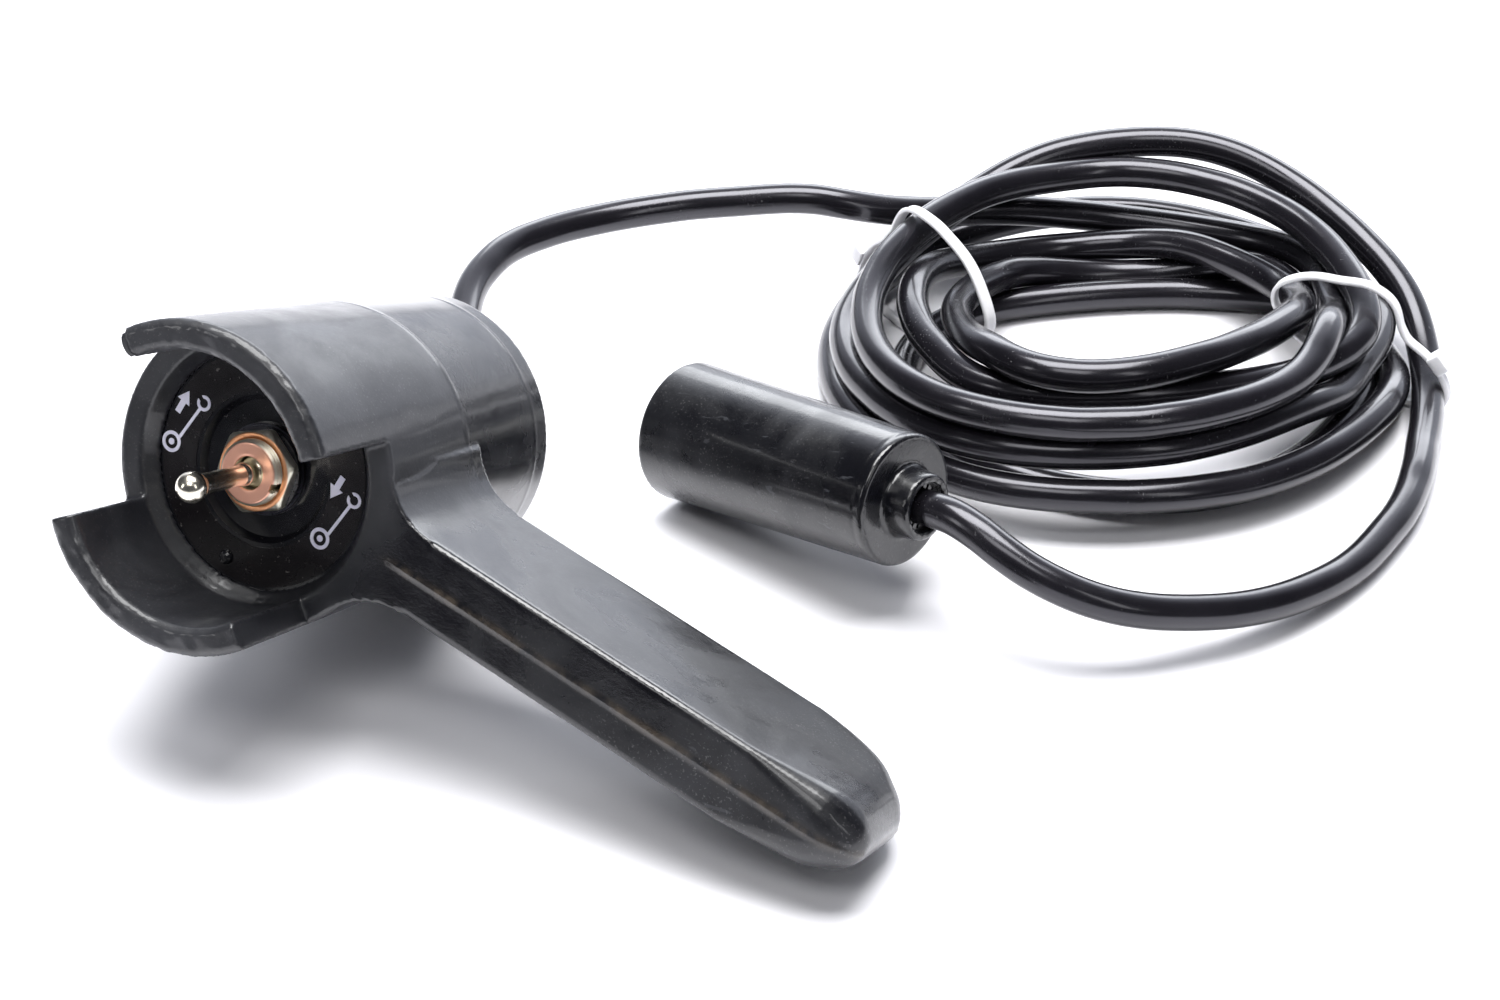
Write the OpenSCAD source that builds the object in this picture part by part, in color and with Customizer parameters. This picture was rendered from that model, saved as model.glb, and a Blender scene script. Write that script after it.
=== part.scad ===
// Hand-held winch remote: a moulded T-handle with a guarded toggle switch,
// a long round cord wound in a tied coil, and a round rubber plug.
// Millimetres, +Z up, the floor is z = 0.

/* [Resting pose] */
// How far the handle slopes down from the head to its tip, degrees
handle_slope = 15.3; // [14.5:0.1:16]
// How far the head leans back on its rear edge, degrees
head_lean = 23; // [22:0.5:24]

/* [Head] */
// Radius of the head at its front rim
head_r_front = 28.6; // [27.8:0.1:29.4]
// Radius of the head at its rear edge
head_r_rear = 26.7; // [26:0.1:27.4]
// Length of the head from the rim to the rear face
head_len = 61.6; // [60:0.1:64]
// Inner radius of the two guards
guard_r_in = 24; // [23.6:0.1:24.4]
// Outer radius of the two guards at their front edge
guard_r_out = 29.2; // [28.8:0.1:29.8]
// How far the guards stand out in front of the rim
guard_len = 21.6; // [20:0.1:23]
// Angle that each guard covers, degrees
guard_span = 98; // [90:1:104]

/* [Handle] */
// Width of the handle, along the head's axis
handle_w = 32; // [30:0.5:33]
// Thickness of the handle
handle_t = 14.8; // [14:0.1:15.6]
// Length from the head's axis to the handle's tip
handle_len = 128.4; // [126:0.5:132]
// Radius of the fillets where the handle meets the head
neck_r = 14; // [13:0.5:15]

/* [Face plate] */
// Depth of the plate's front face behind the rim
face_depth = 3.4; // [3.2:0.1:3.6]
// Thickness of the plate
plate_t = 1.8; // [1.6:0.1:1.8]
// Radius of the plate, held in a groove of the rubber
plate_r = 23.5; // [23.3:0.1:23.5]

/* [Toggle switch] */
// Radius of the threaded bushing
bush_r = 5.95; // [5.9:0.01:5.98]
// Size of the hexagon nut across its flats
nut_af = 14.3; // [13.8:0.1:14.6]
// Radius of the lever's round tip
tip_r = 2.8; // [2.5:0.1:3]
// Distance from the lever's pivot to the centre of its round tip
lever_reach = 20.5; // [19:0.1:21]
// Radius of the pivot pin
pin_r = 0.6; // [0.5:0.05:0.7]

/* [Cord] */
// Outside diameter of the cord
cord_d = 7; // [6.6:0.1:7]

/* [Plug] */
// Radius of the plug at its open end
plug_r_mouth = 14.2; // [13.8:0.1:14.4]
// Radius of the plug at its cord end
plug_r_cord = 13; // [12.6:0.1:13.4]
// Length of the plug's barrel without the collar
plug_len = 58.6; // [57:0.1:60]
// Radius of the opening at the mouth
mouth_r = 11; // [10.6:0.1:11.2]

/* [Hidden] */
$fn = 96;

// The head's axis crosses the rim plane at this point of the resting frame.
head_at = [-45.25, -17.92, 47.61];

// Colours
c_rubber = [0.09, 0.09, 0.10];
c_cord = [0.07, 0.07, 0.08];
c_nickel = [0.75, 0.73, 0.68];
c_brass = [0.80, 0.62, 0.30];
c_steel = [0.62, 0.63, 0.65];
c_case = [0.33, 0.16, 0.10];
c_white = [0.93, 0.93, 0.95];

// Local frame of the hand-piece: +x along the handle, +y backwards along the
// head's axis, z across; y = 0 is the rim plane.
module posed() { translate(head_at) rotate([-head_lean, handle_slope, 0]) children(); }
// Turns a shape drawn around z so that its z runs along the local +y.
module axis_y() { rotate([-90, 0, 0]) children(); }

// ---------------------------------------------------------------- sweeps
function unit(v) = v / norm(v);
function tangent(p, i) = unit(p[min(i + 1, len(p) - 1)] - p[max(i - 1, 0)]);
function ring(c, t, r, n) =
  let (u = unit(cross(t, [0, 0, 1])), w = cross(t, u))
  [for (k = [0:n - 1]) c + r * (cos(360 * k / n) * u + sin(360 * k / n) * w)];
// A closed tube along the points p, r in radius, with n sides
module tube(p, r, n) {
  m = len(p);
  pts = [for (i = [0:m - 1]) each ring(p[i], tangent(p, i), r, n)];
  side = [for (i = [0:m - 2]) for (k = [0:n - 1])
    [i * n + k, (i + 1) * n + k, (i + 1) * n + (k + 1) % n, i * n + (k + 1) % n]];
  cap0 = [for (k = [0:n - 1]) k];
  cap1 = [for (k = [0:n - 1]) (m - 1) * n + (n - 1 - k)];
  polyhedron(points = pts, faces = concat(side, [cap0, cap1]), convexity = 6);
}

// ---------------------------------------------------------------- housing
module guard() {
  axis_y() rotate([0, 0, 90 - guard_span / 2]) rotate_extrude(angle = guard_span)
    polygon([[guard_r_in, 1], [guard_r_in, -guard_len + 1], [guard_r_in + 1, -guard_len],
      [guard_r_out - 1, -guard_len], [guard_r_out, -guard_len + 1], [head_r_front - 0.02, 1]]);
}
module neck() {
  // centre of the fillet that touches the head and the handle
  fz = handle_t / 2 + neck_r;
  fx = sqrt(pow(head_r_front - 0.2 + neck_r, 2) - fz * fz);
  k = (head_r_front - 0.2) / (head_r_front - 0.2 + neck_r);
  axis_y() linear_extrude(height = handle_w) difference() {
    translate([14, -fz * k]) square([fx - 14, 2 * fz * k]);
    for (s = [-1, 1]) translate([fx, s * fz]) circle(neck_r);
  }
}
// points of an elliptical arc about c with half-axes a and b
function arc(c, a, b, a0, a1, n) = [for (i = [0:n]) let (t = a0 + (a1 - a0) * i / n)
  [c[0] + a * cos(t), c[1] + b * sin(t)]];
// how much of the full size is left at x, where a rounding of length a starts at x0
function left_at(x, x0, a) = x <= x0 ? 1 : sqrt(max(0, 1 - pow((x - x0) / a, 2)));
// one ring of the handle: a rounded rectangle across the handle at x
function handle_ring(x) =
  let (h = handle_t / 2 * left_at(x, handle_len - 11, 11.05),
    y0 = 7 * (1 - left_at(x, handle_len - 9.5, 9.6)),
    y1 = handle_w - tip_rear * (1 - left_at(x, handle_len - 21, 21.1)),
    e = min(h - 0.05, 1.2 + max(0, x - handle_len + 24) * tip_soft))
  [for (p = concat(arc([y1 - e, h - e], e, e, 0, 90, 5), arc([y0 + e, h - e], e, e, 90, 180, 5),
    arc([y0 + e, e - h], e, e, 180, 270, 5), arc([y1 - e, e - h], e, e, 270, 360, 5))) [x, p[0], p[1]]];
tip_rear = 13;
tip_soft = 0.267;
module handle() {
  xs = concat([24], [for (d = [24, 21, 18, 15.5, 13, 11, 9, 7.2, 5.6, 4.2, 3, 1.9, 1.1, 0.5, 0.15]) handle_len - d]);
  n = 24;
  m = len(xs);
  pts = [for (x = xs) each handle_ring(x)];
  side = [for (i = [0:m - 2]) for (k = [0:n - 1])
    [i * n + k, (i + 1) * n + k, (i + 1) * n + (k + 1) % n, i * n + (k + 1) % n]];
  polyhedron(points = pts, faces = concat(side, [[for (k = [0:n - 1]) k],
    [for (k = [0:n - 1]) m * n - 1 - k]]), convexity = 4);
}
module housing() color(c_rubber) posed() difference() {
  union() {
    axis_y() rotate_extrude() polygon([[0, 0], [head_r_front - 0.6, 0], [head_r_front, 0.6],
      [head_r_rear + 0.05, head_len - 1], [head_r_rear - 1, head_len], [0, head_len]]);
    guard();
    mirror([0, 0, 1]) guard();
    neck();
    handle();
  }
  // rim opening, plate groove and switch chamber
  axis_y() rotate_extrude() polygon([[0, -1], [guard_r_in, -1], [guard_r_in - 0.1, 0],
    [21.6, face_depth], [plate_r + 0.05, face_depth], [plate_r + 0.05, face_depth + plate_t + 0.05],
    [22, face_depth + plate_t + 0.05], [22, 50], [0, 50]]);
  // cord hole through the rear wall
  axis_y() translate([0, 0, 49]) cylinder(r = cord_d / 2 + 0.1, h = 20);
  // clamp screw pilot holes in the rear wall
  for (s = [-1, 1]) axis_y() translate([s * 9, 0, 49]) cylinder(r = 1, h = 8, $fn = 32);
}

// ---------------------------------------------------------------- face
dish = 1.2;
module face_plate() color([0.05, 0.05, 0.06]) posed() axis_y() difference() {
  rotate_extrude() polygon([[bush_r + 0.1, face_depth + dish], [12.4, face_depth + dish],
    [13.4, face_depth], [plate_r, face_depth], [plate_r, face_depth + plate_t],
    [14.6, face_depth + plate_t], [13.6, face_depth + plate_t + dish],
    [bush_r + 0.1, face_depth + plate_t + dish]]);
  translate([0, 18.4, 0]) cylinder(r = 1.1, h = 10, $fn = 48);
}
module face_label() color([0.04, 0.04, 0.05]) posed() axis_y() difference() {
  rotate_extrude() polygon([[14.2, face_depth - 0.15], [21.3, face_depth - 0.15],
    [21.3, face_depth], [14.2, face_depth]]);
  translate([0, 18.4, 0]) cylinder(r = 1.5, h = 10, $fn = 48);
}
// A plain symbol: a drum, a straight line with an open ring, and an arrow
// that shows which way the line runs.
module symbol(dir) {
  // drum
  translate([-1.3, -4.2]) difference() { circle(1.5, $fn = 40); circle(1.0, $fn = 40); }
  translate([-1.3, -4.2]) circle(0.45, $fn = 24);
  // line
  translate([-0.45, -3.2]) rotate(-14) translate([-0.22, 0]) square([0.44, 5.6]);
  // open ring at the line's end
  translate([1.15, 3.2]) difference() {
    circle(1.1, $fn = 40);
    circle(0.65, $fn = 40);
    rotate(150) translate([0, -0.35]) square([2, 0.7]);
  }
  // arrow beside the line
  translate([-1.9, dir > 0 ? 1.6 : 3.6]) scale([1, dir]) rotate(dir > 0 ? -8 : 8) union() {
    translate([-0.45, -1.6]) square([0.9, 2]);
    polygon([[-1.1, 0.2], [1.1, 0.2], [0, 2]]);
  }
}
module symbol_at(x, dir) color([0.78, 0.77, 0.88]) posed()
  translate([x, face_depth - 0.15, 0.4]) rotate([90, 0, 0]) linear_extrude(height = 0.1) scale(1.32) symbol(dir);
module symbol_out() { symbol_at(-17.3, 1); }
module symbol_in() { symbol_at(17.3, -1); }
module locating_rivet() color([0.05, 0.05, 0.06]) posed() translate([0, 0, -18.4]) axis_y()
  rotate_extrude($fn = 48) polygon([[0, face_depth - 1.1], [0.7, face_depth - 1.0], [1.15, face_depth - 0.7],
    [1.35, face_depth - 0.2], [1.35, face_depth - 0.02], [1.05, face_depth - 0.02],
    [1.05, face_depth + plate_t], [1.9, face_depth + plate_t], [1.9, face_depth + plate_t + 0.6],
    [0, face_depth + plate_t + 0.6]]);

// ---------------------------------------------------------------- toggle switch
pivot_y = 2.2;
module keyway() { translate([bush_r - 0.9, -0.9, -30]) cube([3, 1.8, 60]); }
module locating_ring() color(c_steel) posed() axis_y() difference() {
  union() {
    difference() {
      translate([0, 0, 3.6]) cylinder(r = 8.4, h = 1);
      translate([0, 0, 3]) cylinder(r = bush_r + 0.1, h = 3);
    }
    translate([bush_r - 0.7, -0.7, 3.6]) cube([2, 1.4, 1]);
  }
}
module lock_washer() color(c_steel) posed() axis_y() difference() {
  translate([0, 0, 2.6]) cylinder(r = 8, h = 1);
  translate([0, 0, 2]) cylinder(r = bush_r + 0.1, h = 3);
  for (a = [0:36:324]) rotate([0, 0, a]) translate([5, -0.5, 2]) cube([1.9, 1, 3]);
}
module hex_nut() color(c_nickel) posed() axis_y() difference() {
  intersection() {
    translate([0, 0, 0.2]) rotate([0, 0, -33]) cylinder(r = nut_af / 2 / cos(30), h = 2.4, $fn = 6);
    rotate_extrude() polygon([[0, 0.2], [nut_af / 2 - 0.1, 0.2], [nut_af / 2 + 1.2, 0.95],
      [nut_af / 2 + 1.2, 2.6], [0, 2.6]]);
  }
  translate([0, 0, -1]) cylinder(r = bush_r + 0.03, h = 6);
}
module backing_nut() color(c_nickel) posed() axis_y() difference() {
  translate([0, 0, face_depth + plate_t + dish]) cylinder(r = nut_af / 2 / cos(30), h = 8.6 - face_depth - plate_t - dish, $fn = 6);
  translate([0, 0, 5]) cylinder(r = bush_r + 0.03, h = 6);
}
module switch_bushing() color(c_nickel) posed() axis_y() difference() {
  rotate_extrude() polygon([[2.95, -1.4], [bush_r - 0.5, -1.4], [bush_r, -0.9], [bush_r, 8.6],
    [7.6, 8.6], [7.6, 9.9], [3.5, 9.9], [3.5, 0.6], [2.95, 0.2]]);
  // keyway on the handle side
  translate([bush_r - 0.9, -0.9, -2]) cube([3, 1.8, 10]);
  // cross hole for the pivot pin
  translate([0, 0, pivot_y]) rotate([90, 0, 0]) translate([0, 0, -8]) cylinder(r = pin_r, h = 16, $fn = 48);
}
module pivot_pin() color(c_steel) posed() translate([0, pivot_y, -5.4]) cylinder(r = pin_r, h = 10.8, $fn = 48);
module toggle_lever() color(c_nickel) posed() translate([0, pivot_y, 0]) axis_y() difference() {
  union() {
    // bat with its round tip
    rotate_extrude($fn = 72) polygon(concat(
      [for (a = [-90:10:50]) [tip_r * cos(a), -lever_reach + tip_r * sin(a)]],
      [[1.95, -lever_reach + 3.2], [1.75, -7.6], [1.75, -6.2], [2.1, -5.4], [2.15, -4.9], [1.9, -4.3],
       [1.8, -3.6], [1.8, -1.8], [0, -1.8]]));
    // ball and foot
    sphere(r = 3.35, $fn = 96);
    rotate_extrude($fn = 72) polygon([[0, 0], [1.5, 0], [1.5, 11.6], [1.3, 11.8], [0, 11.8]]);
  }
  // cross hole on the pin
  rotate([90, 0, 0]) translate([0, 0, -8]) cylinder(r = pin_r + 0.05, h = 16, $fn = 48);
  // bore for the plunger
  translate([0, 0, 4.6]) cylinder(r = 0.95, h = 10, $fn = 48);
}
module lever_plunger() color(c_brass) posed() translate([0, pivot_y, 0]) axis_y()
  rotate_extrude($fn = 48) polygon(concat([[0, 9.2], [0.9, 9.2], [0.9, 13.1]],
    [for (a = [0:15:90]) [0.9 * cos(a), 13.1 + 0.9 * sin(a)]]));
module plunger_spring() color(c_steel) posed() translate([0, pivot_y, 0]) axis_y() {
  n = 8; turns = 5; per = 12; r = 0.62; w = 0.18;
  m = turns * per;
  pts = [for (i = [0:m]) each [for (k = [0:n - 1])
    let (a = 360 * i / per, q = 360 * k / n)
    [(r + w * cos(q)) * cos(a), (r + w * cos(q)) * sin(a), 4.85 + 4.0 * i / m + w * sin(q)]]];
  side = [for (i = [0:m - 1]) for (k = [0:n - 1])
    [i * n + k, i * n + (k + 1) % n, (i + 1) * n + (k + 1) % n, (i + 1) * n + k]];
  polyhedron(points = pts, faces = concat(side, [[for (k = [0:n - 1]) n - 1 - k]],
    [[for (k = [0:n - 1]) m * n + k]]), convexity = 8);
}
// stamped frame that clamps the case under the bushing's flange
module switch_frame() color(c_steel) posed() difference() {
  union() {
    translate([-13.5, 9.9, -8.6]) cube([27, 1, 17.2]);
    for (s = [-1, 1]) translate([-5, 9.9, s > 0 ? 7.6 : -8.6]) cube([10, 13, 1]);
    for (s = [-1, 1]) translate([-3, 22.4, s > 0 ? 6.6 : -8.6]) cube([6, 0.8, 2]);
  }
  axis_y() translate([0, 0, 9]) cylinder(r = 3.8, h = 3);
}
module switch_case() color(c_case) posed() difference() {
  translate([-13.5, 10.9, -7.5]) cube([27, 11.5, 15]);
  // contact chamber, open at the front
  translate([-12, 10, -5.4]) cube([24, 10.6, 10.8]);
  // slots for the three terminals
  for (x = [-9, 0, 9]) translate([x - 0.45, 18, -3.2]) cube([0.9, 6, 6.4]);
}
// see-saw contact, turning on the common terminal's round edge
rock_y = 18.2;
module rocker_contact() color(c_brass) posed() difference() {
  translate([0, 0, -2.2]) linear_extrude(height = 4.4)
    polygon([[-10.6, rock_y - 2.15], [-10.6, rock_y - 1.45], [-1.6, rock_y - 0.6], [-1.6, rock_y + 0.3],
      [1.6, rock_y + 0.3], [1.6, rock_y - 0.6], [10.6, rock_y - 1.45], [10.6, rock_y - 2.15],
      [1.6, rock_y - 1.5], [-1.6, rock_y - 1.5]]);
  translate([0, rock_y, -5]) cylinder(r = 0.85, h = 10, $fn = 48);
}
module rocker_buttons() color([0.85, 0.85, 0.86]) posed() for (s = [-1, 1])
  translate([s * 9, 0, 0]) axis_y() translate([0, 0, rock_y - 1.6]) cylinder(r = 1.2, h = 0.9, $fn = 40);
module blade(x) { translate([x - 0.4, 20.0, -3.1]) cube([0.8, 10.4, 6.2]); }
module terminal_common() color(c_brass) posed() {
  blade(0);
  translate([-0.4, rock_y, -2.6]) cube([0.8, 2.2, 5.2]);
  translate([0, rock_y, -2.6]) cylinder(r = 0.8, h = 5.2, $fn = 48);
}
module end_terminal(s) {
  blade(s * 9);
  translate([s * 9, 0, 0]) axis_y() translate([0, 0, rock_y + 0.8]) cylinder(r = 1.5, h = 1.4, $fn = 40);
}
module terminal_out() color(c_brass) posed() end_terminal(-1);
module terminal_in() color(c_brass) posed() end_terminal(1);
// push-on connectors and their crimp barrels, one on each blade
module spade_connectors() color([0.72, 0.66, 0.5]) posed() for (x = [-9, 0, 9]) {
  difference() {
    translate([x - 1.4, 24.4, -3.9]) cube([2.8, 7.6, 7.8]);
    translate([x - 0.42, 24, -3.15]) cube([0.84, 6.6, 6.3]);
  }
  difference() {
    translate([x, 0, 0]) axis_y() translate([0, 0, 32]) cylinder(r = 1.7, h = 5, $fn = 40);
    translate([x, 0, 0]) axis_y() translate([0, 0, 33]) cylinder(r = 1.05, h = 6, $fn = 40);
  }
}
function bend_to(x, jx, jz) = [[x, 33.1, 0], [x, 35.5, 0], [x, 37.6, 0],
  [x * 0.86 + jx * 0.14, 38.9, jz * 0.14], [x * 0.5 + jx * 0.5, 40.2, jz * 0.5],
  [x * 0.14 + jx * 0.86, 41.5, jz * 0.86], [jx, 43, jz], [jx, 44, jz]];
module wire_common() color([0.8, 0.8, 0.78]) posed() tube(bend_to(0, 0, -1.5), 1, 8);
module wire_out() color([0.1, 0.4, 0.15]) posed() tube(bend_to(-9, -1.35, 0.85), 1, 8);
module wire_in() color([0.6, 0.1, 0.08]) posed() tube(bend_to(9, 1.35, 0.85), 1, 8);
// two-screw clamp that holds the cord against the rear wall
module cord_clamp() color(c_case) posed() difference() {
  translate([-12, 45.2, -5.5]) cube([24, 4.8, 11]);
  axis_y() translate([0, 0, 44]) cylinder(r = cord_d / 2, h = 8);
  for (s = [-1, 1]) axis_y() translate([s * 9, 0, 44]) cylinder(r = 1.3, h = 8, $fn = 32);
}
module clamp_screws() color(c_steel) posed() for (s = [-1, 1]) translate([s * 9, 0, 0]) axis_y() {
  translate([0, 0, 45.2]) cylinder(r = 0.98, h = 11, $fn = 32);
  difference() {
    translate([0, 0, 43.8]) cylinder(r = 2.2, h = 1.4, $fn = 40);
    translate([-3, -0.3, 43]) cube([6, 0.6, 1.4]);
  }
}
module cord_tail_head() color(c_cord) posed() axis_y()
  translate([0, 0, 44]) cylinder(r = cord_d / 2, h = head_len - 44);

// ---------------------------------------------------------------- cord
// Where a point of the hand-piece lies in the resting frame
function turn_x(p, a) = [p[0], p[1] * cos(a) - p[2] * sin(a), p[1] * sin(a) + p[2] * cos(a)];
function turn_y(p, a) = [p[0] * cos(a) + p[2] * sin(a), p[1], -p[0] * sin(a) + p[2] * cos(a)];
function resting(p) = head_at + turn_y(turn_x(p, -head_lean), handle_slope);

// The lead from the head's rear face to the coil
head_route = concat([resting([0, head_len, 0]), resting([0, head_len + 5, 0])], [
  [-55.5, 52.5, 20], [-60, 60.5, 19.5], [-65.5, 68, 20], [-71, 75, 21], [-76, 82.5, 22],
  [-80, 90.5, 23], [-82, 99.5, 24], [-82.5, 108.5, 24], [-80.5, 117.5, 23.5], [-77, 126.5, 23],
  [-72.5, 134.5, 22.5], [-67, 141.5, 22.5], [-60.5, 148.5, 22.5], [-53.5, 154.5, 22.5],
  [-46.5, 160.5, 22.5], [-38.5, 165.5, 22.5], [-31, 169.5, 22.5]]);
module cord_lead_head() color(c_cord) tube(head_route, cord_d / 2, 10);

// The coil: a ring that the wound turns fill
coil_at = [38.5, 166, 0];
coil_in = 34;
coil_out = 68;
coil_h = 35;
function cham(w, h, c) = [[-w / 2 + c, -h / 2], [w / 2 - c, -h / 2], [w / 2, -h / 2 + c], [w / 2, h / 2 - c],
  [w / 2 - c, h / 2], [-w / 2 + c, h / 2], [-w / 2, h / 2 - c], [-w / 2, -h / 2 + c]];
coil_w = coil_out - coil_in;
coil_mid = (coil_out + coil_in) / 2;
tie_left_angle = 199;
tie_right_angle = 26;
module at_tie(a) { translate(coil_at) rotate([0, 0, a]) translate([coil_mid, 0, coil_h / 2]) rotate([90, 0, 0]) children(); }
module cord_coil() color(c_cord) difference() {
  translate(coil_at) rotate_extrude() translate([coil_mid, coil_h / 2]) polygon(cham(coil_w, coil_h, 7));
  for (a = [tie_left_angle, tie_right_angle]) at_tie(a) linear_extrude(height = 3, center = true) difference() {
    polygon(cham(coil_w + 8, coil_h + 8, 9));
    polygon(cham(coil_w - 2.8, coil_h - 2.8, 6.2));
  }
}
// A nylon cable tie pulled round the coil, with its square head outside
module cable_tie(a) color(c_white) at_tie(a) {
  linear_extrude(height = 2.5, center = true) difference() {
    polygon(cham(coil_w - 0.4, coil_h - 0.4, 6.9));
    polygon(cham(coil_w - 2.7, coil_h - 2.7, 6.25));
  }
  translate([coil_w / 2 - 1, 0.5, -1.25]) cube([1.2, 4, 2.5]);
  translate([coil_w / 2 + 0.1, 0, -2.4]) cube([3.6, 5, 4.8]);
}
module tie_left() { cable_tie(tie_left_angle); }
module tie_right() { cable_tie(tie_right_angle); }

// ---------------------------------------------------------------- plug
// Middle of the plug's open mouth, its heading and its rise
plug_at = [-17.5, 78.6, 14.05];
plug_heading = -10.3;
plug_rise = 8.5;
collar_len = 5.5;
function plug_point(z) = plug_at + z * [cos(plug_rise) * cos(plug_heading), cos(plug_rise) * sin(plug_heading), sin(plug_rise)];
module plugged() { translate(plug_at) rotate([0, 90 - plug_rise, plug_heading]) children(); }
mouth_d = 16;

// The lead from the plug's collar round to the coil
plug_route = concat([plug_point(plug_len + collar_len), plug_point(plug_len + collar_len + 5)], [
  [58, 65, 23], [66, 64.5, 20], [74, 66, 17], [81.5, 69.5, 14], [88.5, 75, 11.5], [94.5, 81.5, 9.5],
  [100, 88.5, 8], [104.5, 96.5, 6.5], [108, 105, 5.5], [110.5, 114, 4.5], [112, 123, 4], [112.5, 132, 4],
  [112.5, 141, 4], [111.5, 150, 4], [109.5, 159, 4.5], [106.5, 168, 5]]);
module cord_lead_plug() color(c_cord) tube(plug_route, cord_d / 2, 10);

module plug_body() color(c_rubber) plugged() difference() {
  rotate_extrude() polygon([[mouth_r, 0], [plug_r_mouth - 0.6, 0], [plug_r_mouth, 0.6],
    [plug_r_cord, plug_len - 0.5], [plug_r_cord - 0.5, plug_len], [7.4, plug_len], [7, plug_len + 0.4],
    [6.5, plug_len + collar_len - 0.4], [6.1, plug_len + collar_len], [5, plug_len + collar_len],
    [5, 46], [10, 46], [10, mouth_d], [mouth_r, mouth_d - 1]]);
  // moulded key groove at the mouth
  rotate([0, 0, 62]) translate([-1.1, -20, -1]) cube([2.2, 20 - 13.3, 6.2]);
}
pitch_r = 5;
module plug_insert() color([0.12, 0.12, 0.13]) plugged() difference() {
  translate([0, 0, mouth_d]) cylinder(r = 9.95, h = 16);
  for (a = [90, 210, 330]) rotate([0, 0, a]) translate([pitch_r, 0, 0]) cylinder(r = 1.9, h = 40, $fn = 48);
}
module plug_contacts() color(c_brass) plugged() for (a = [90, 210, 330]) rotate([0, 0, a]) translate([pitch_r, 0, 0])
  difference() {
    translate([0, 0, mouth_d + 0.2]) cylinder(r = 1.88, h = 20.2, $fn = 48);
    translate([0, 0, mouth_d]) cylinder(r = 1.25, h = 12, $fn = 48);
    translate([0, 0, 32.5]) cylinder(r = 1.1, h = 6, $fn = 48);
  }
function core(x) = [[x, 0, 33], [x, 0, 35], [x, 0, 36.8], [x * 0.86, 0, 38.4], [x * 0.62, 0, 40.2],
  [x * 0.37, 0, 42], [x * 0.3, 0, 43.6], [x * 0.3, 0, 45]];
module plug_wires() color([0.5, 0.12, 0.1]) plugged() for (a = [90, 210, 330])
  rotate([0, 0, a]) rotate([0, -90, 0]) tube([for (q = core(pitch_r)) [q[2], 0, -q[0]]], 1, 8);
// ribbed ring that grips the cord inside the collar
module plug_gland() color(c_rubber) plugged() difference() {
  translate([0, 0, 50]) cylinder(r = 4.98, h = 12.4);
  translate([0, 0, 49]) cylinder(r = cord_d / 2 + 0.02, h = 15);
  for (a = [0:24:336]) rotate([0, 0, a]) translate([3.3, -0.35, 58.6]) cube([1.1, 0.7, 5]);
}
module cord_tail_plug() color(c_cord) plugged() translate([0, 0, 45]) cylinder(r = cord_d / 2, h = plug_len + collar_len - 45);

housing();
face_plate();
face_label();
symbol_out();
symbol_in();
locating_rivet();
locating_ring();
lock_washer();
hex_nut();
backing_nut();
switch_bushing();
pivot_pin();
toggle_lever();
lever_plunger();
plunger_spring();
switch_frame();
switch_case();
rocker_contact();
rocker_buttons();
terminal_common();
terminal_out();
terminal_in();
spade_connectors();
wire_common();
wire_out();
wire_in();
cord_clamp();
clamp_screws();
cord_tail_head();
cord_lead_head();
cord_coil();
cord_lead_plug();
tie_left();
tie_right();
plug_body();
plug_insert();
plug_contacts();
plug_wires();
plug_gland();
cord_tail_plug();
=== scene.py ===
import bpy, bmesh, math
import numpy as np
from mathutils import Vector, Matrix, noise


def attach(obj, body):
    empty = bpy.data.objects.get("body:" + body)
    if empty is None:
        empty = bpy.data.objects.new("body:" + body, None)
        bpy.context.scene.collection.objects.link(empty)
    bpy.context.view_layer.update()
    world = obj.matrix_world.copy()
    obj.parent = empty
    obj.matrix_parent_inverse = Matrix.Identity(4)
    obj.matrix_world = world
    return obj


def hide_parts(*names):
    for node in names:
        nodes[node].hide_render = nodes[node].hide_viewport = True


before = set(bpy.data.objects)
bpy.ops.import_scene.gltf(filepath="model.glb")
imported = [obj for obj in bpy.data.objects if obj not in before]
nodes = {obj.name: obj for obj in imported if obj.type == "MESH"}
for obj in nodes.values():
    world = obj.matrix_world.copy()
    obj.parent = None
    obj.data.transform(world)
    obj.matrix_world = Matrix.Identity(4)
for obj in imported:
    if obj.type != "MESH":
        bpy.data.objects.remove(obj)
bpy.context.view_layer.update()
scene = bpy.context.scene
MM = 0.001
ROOT = "pendant"

# ------------------------------------------------------------------ frames
# Local frame of the hand-piece: x along the handle, y backwards along the head's axis, z across.
HA = np.array((-0.04525, -0.01792, 0.04761))
EX = np.array((0.96455742, 0.0, -0.26387305))
EY = np.array((-0.10310341, 0.92050485, -0.37688261))
EZ = np.array((0.24289642, 0.39073113, 0.88787979))
RL = np.stack([EX, EY, EZ], 1)


def L2W(p):
    "local millimetres to the row frame in metres"
    return HA + (np.atleast_2d(np.array(p, float)) * MM) @ RL.T


def W2L(p):
    return ((np.atleast_2d(p) - HA) @ RL) / MM


# Plug frame: z from the open mouth towards the cord
PD = np.array((0.97307791, -0.17683823, 0.14780941))
PM = np.array((-0.0175, 0.0786, 0.01405))
_az, _pt = math.radians(-10.3), math.radians(81.5)
PR = (np.array(Matrix.Rotation(_az, 3, "Z")) @ np.array(Matrix.Rotation(_pt, 3, "Y")))


def P2W(p):
    return PM + (np.atleast_2d(np.array(p, float)) * MM) @ PR.T


def W2P(p):
    return ((np.atleast_2d(p) - PM) @ PR) / MM


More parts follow.
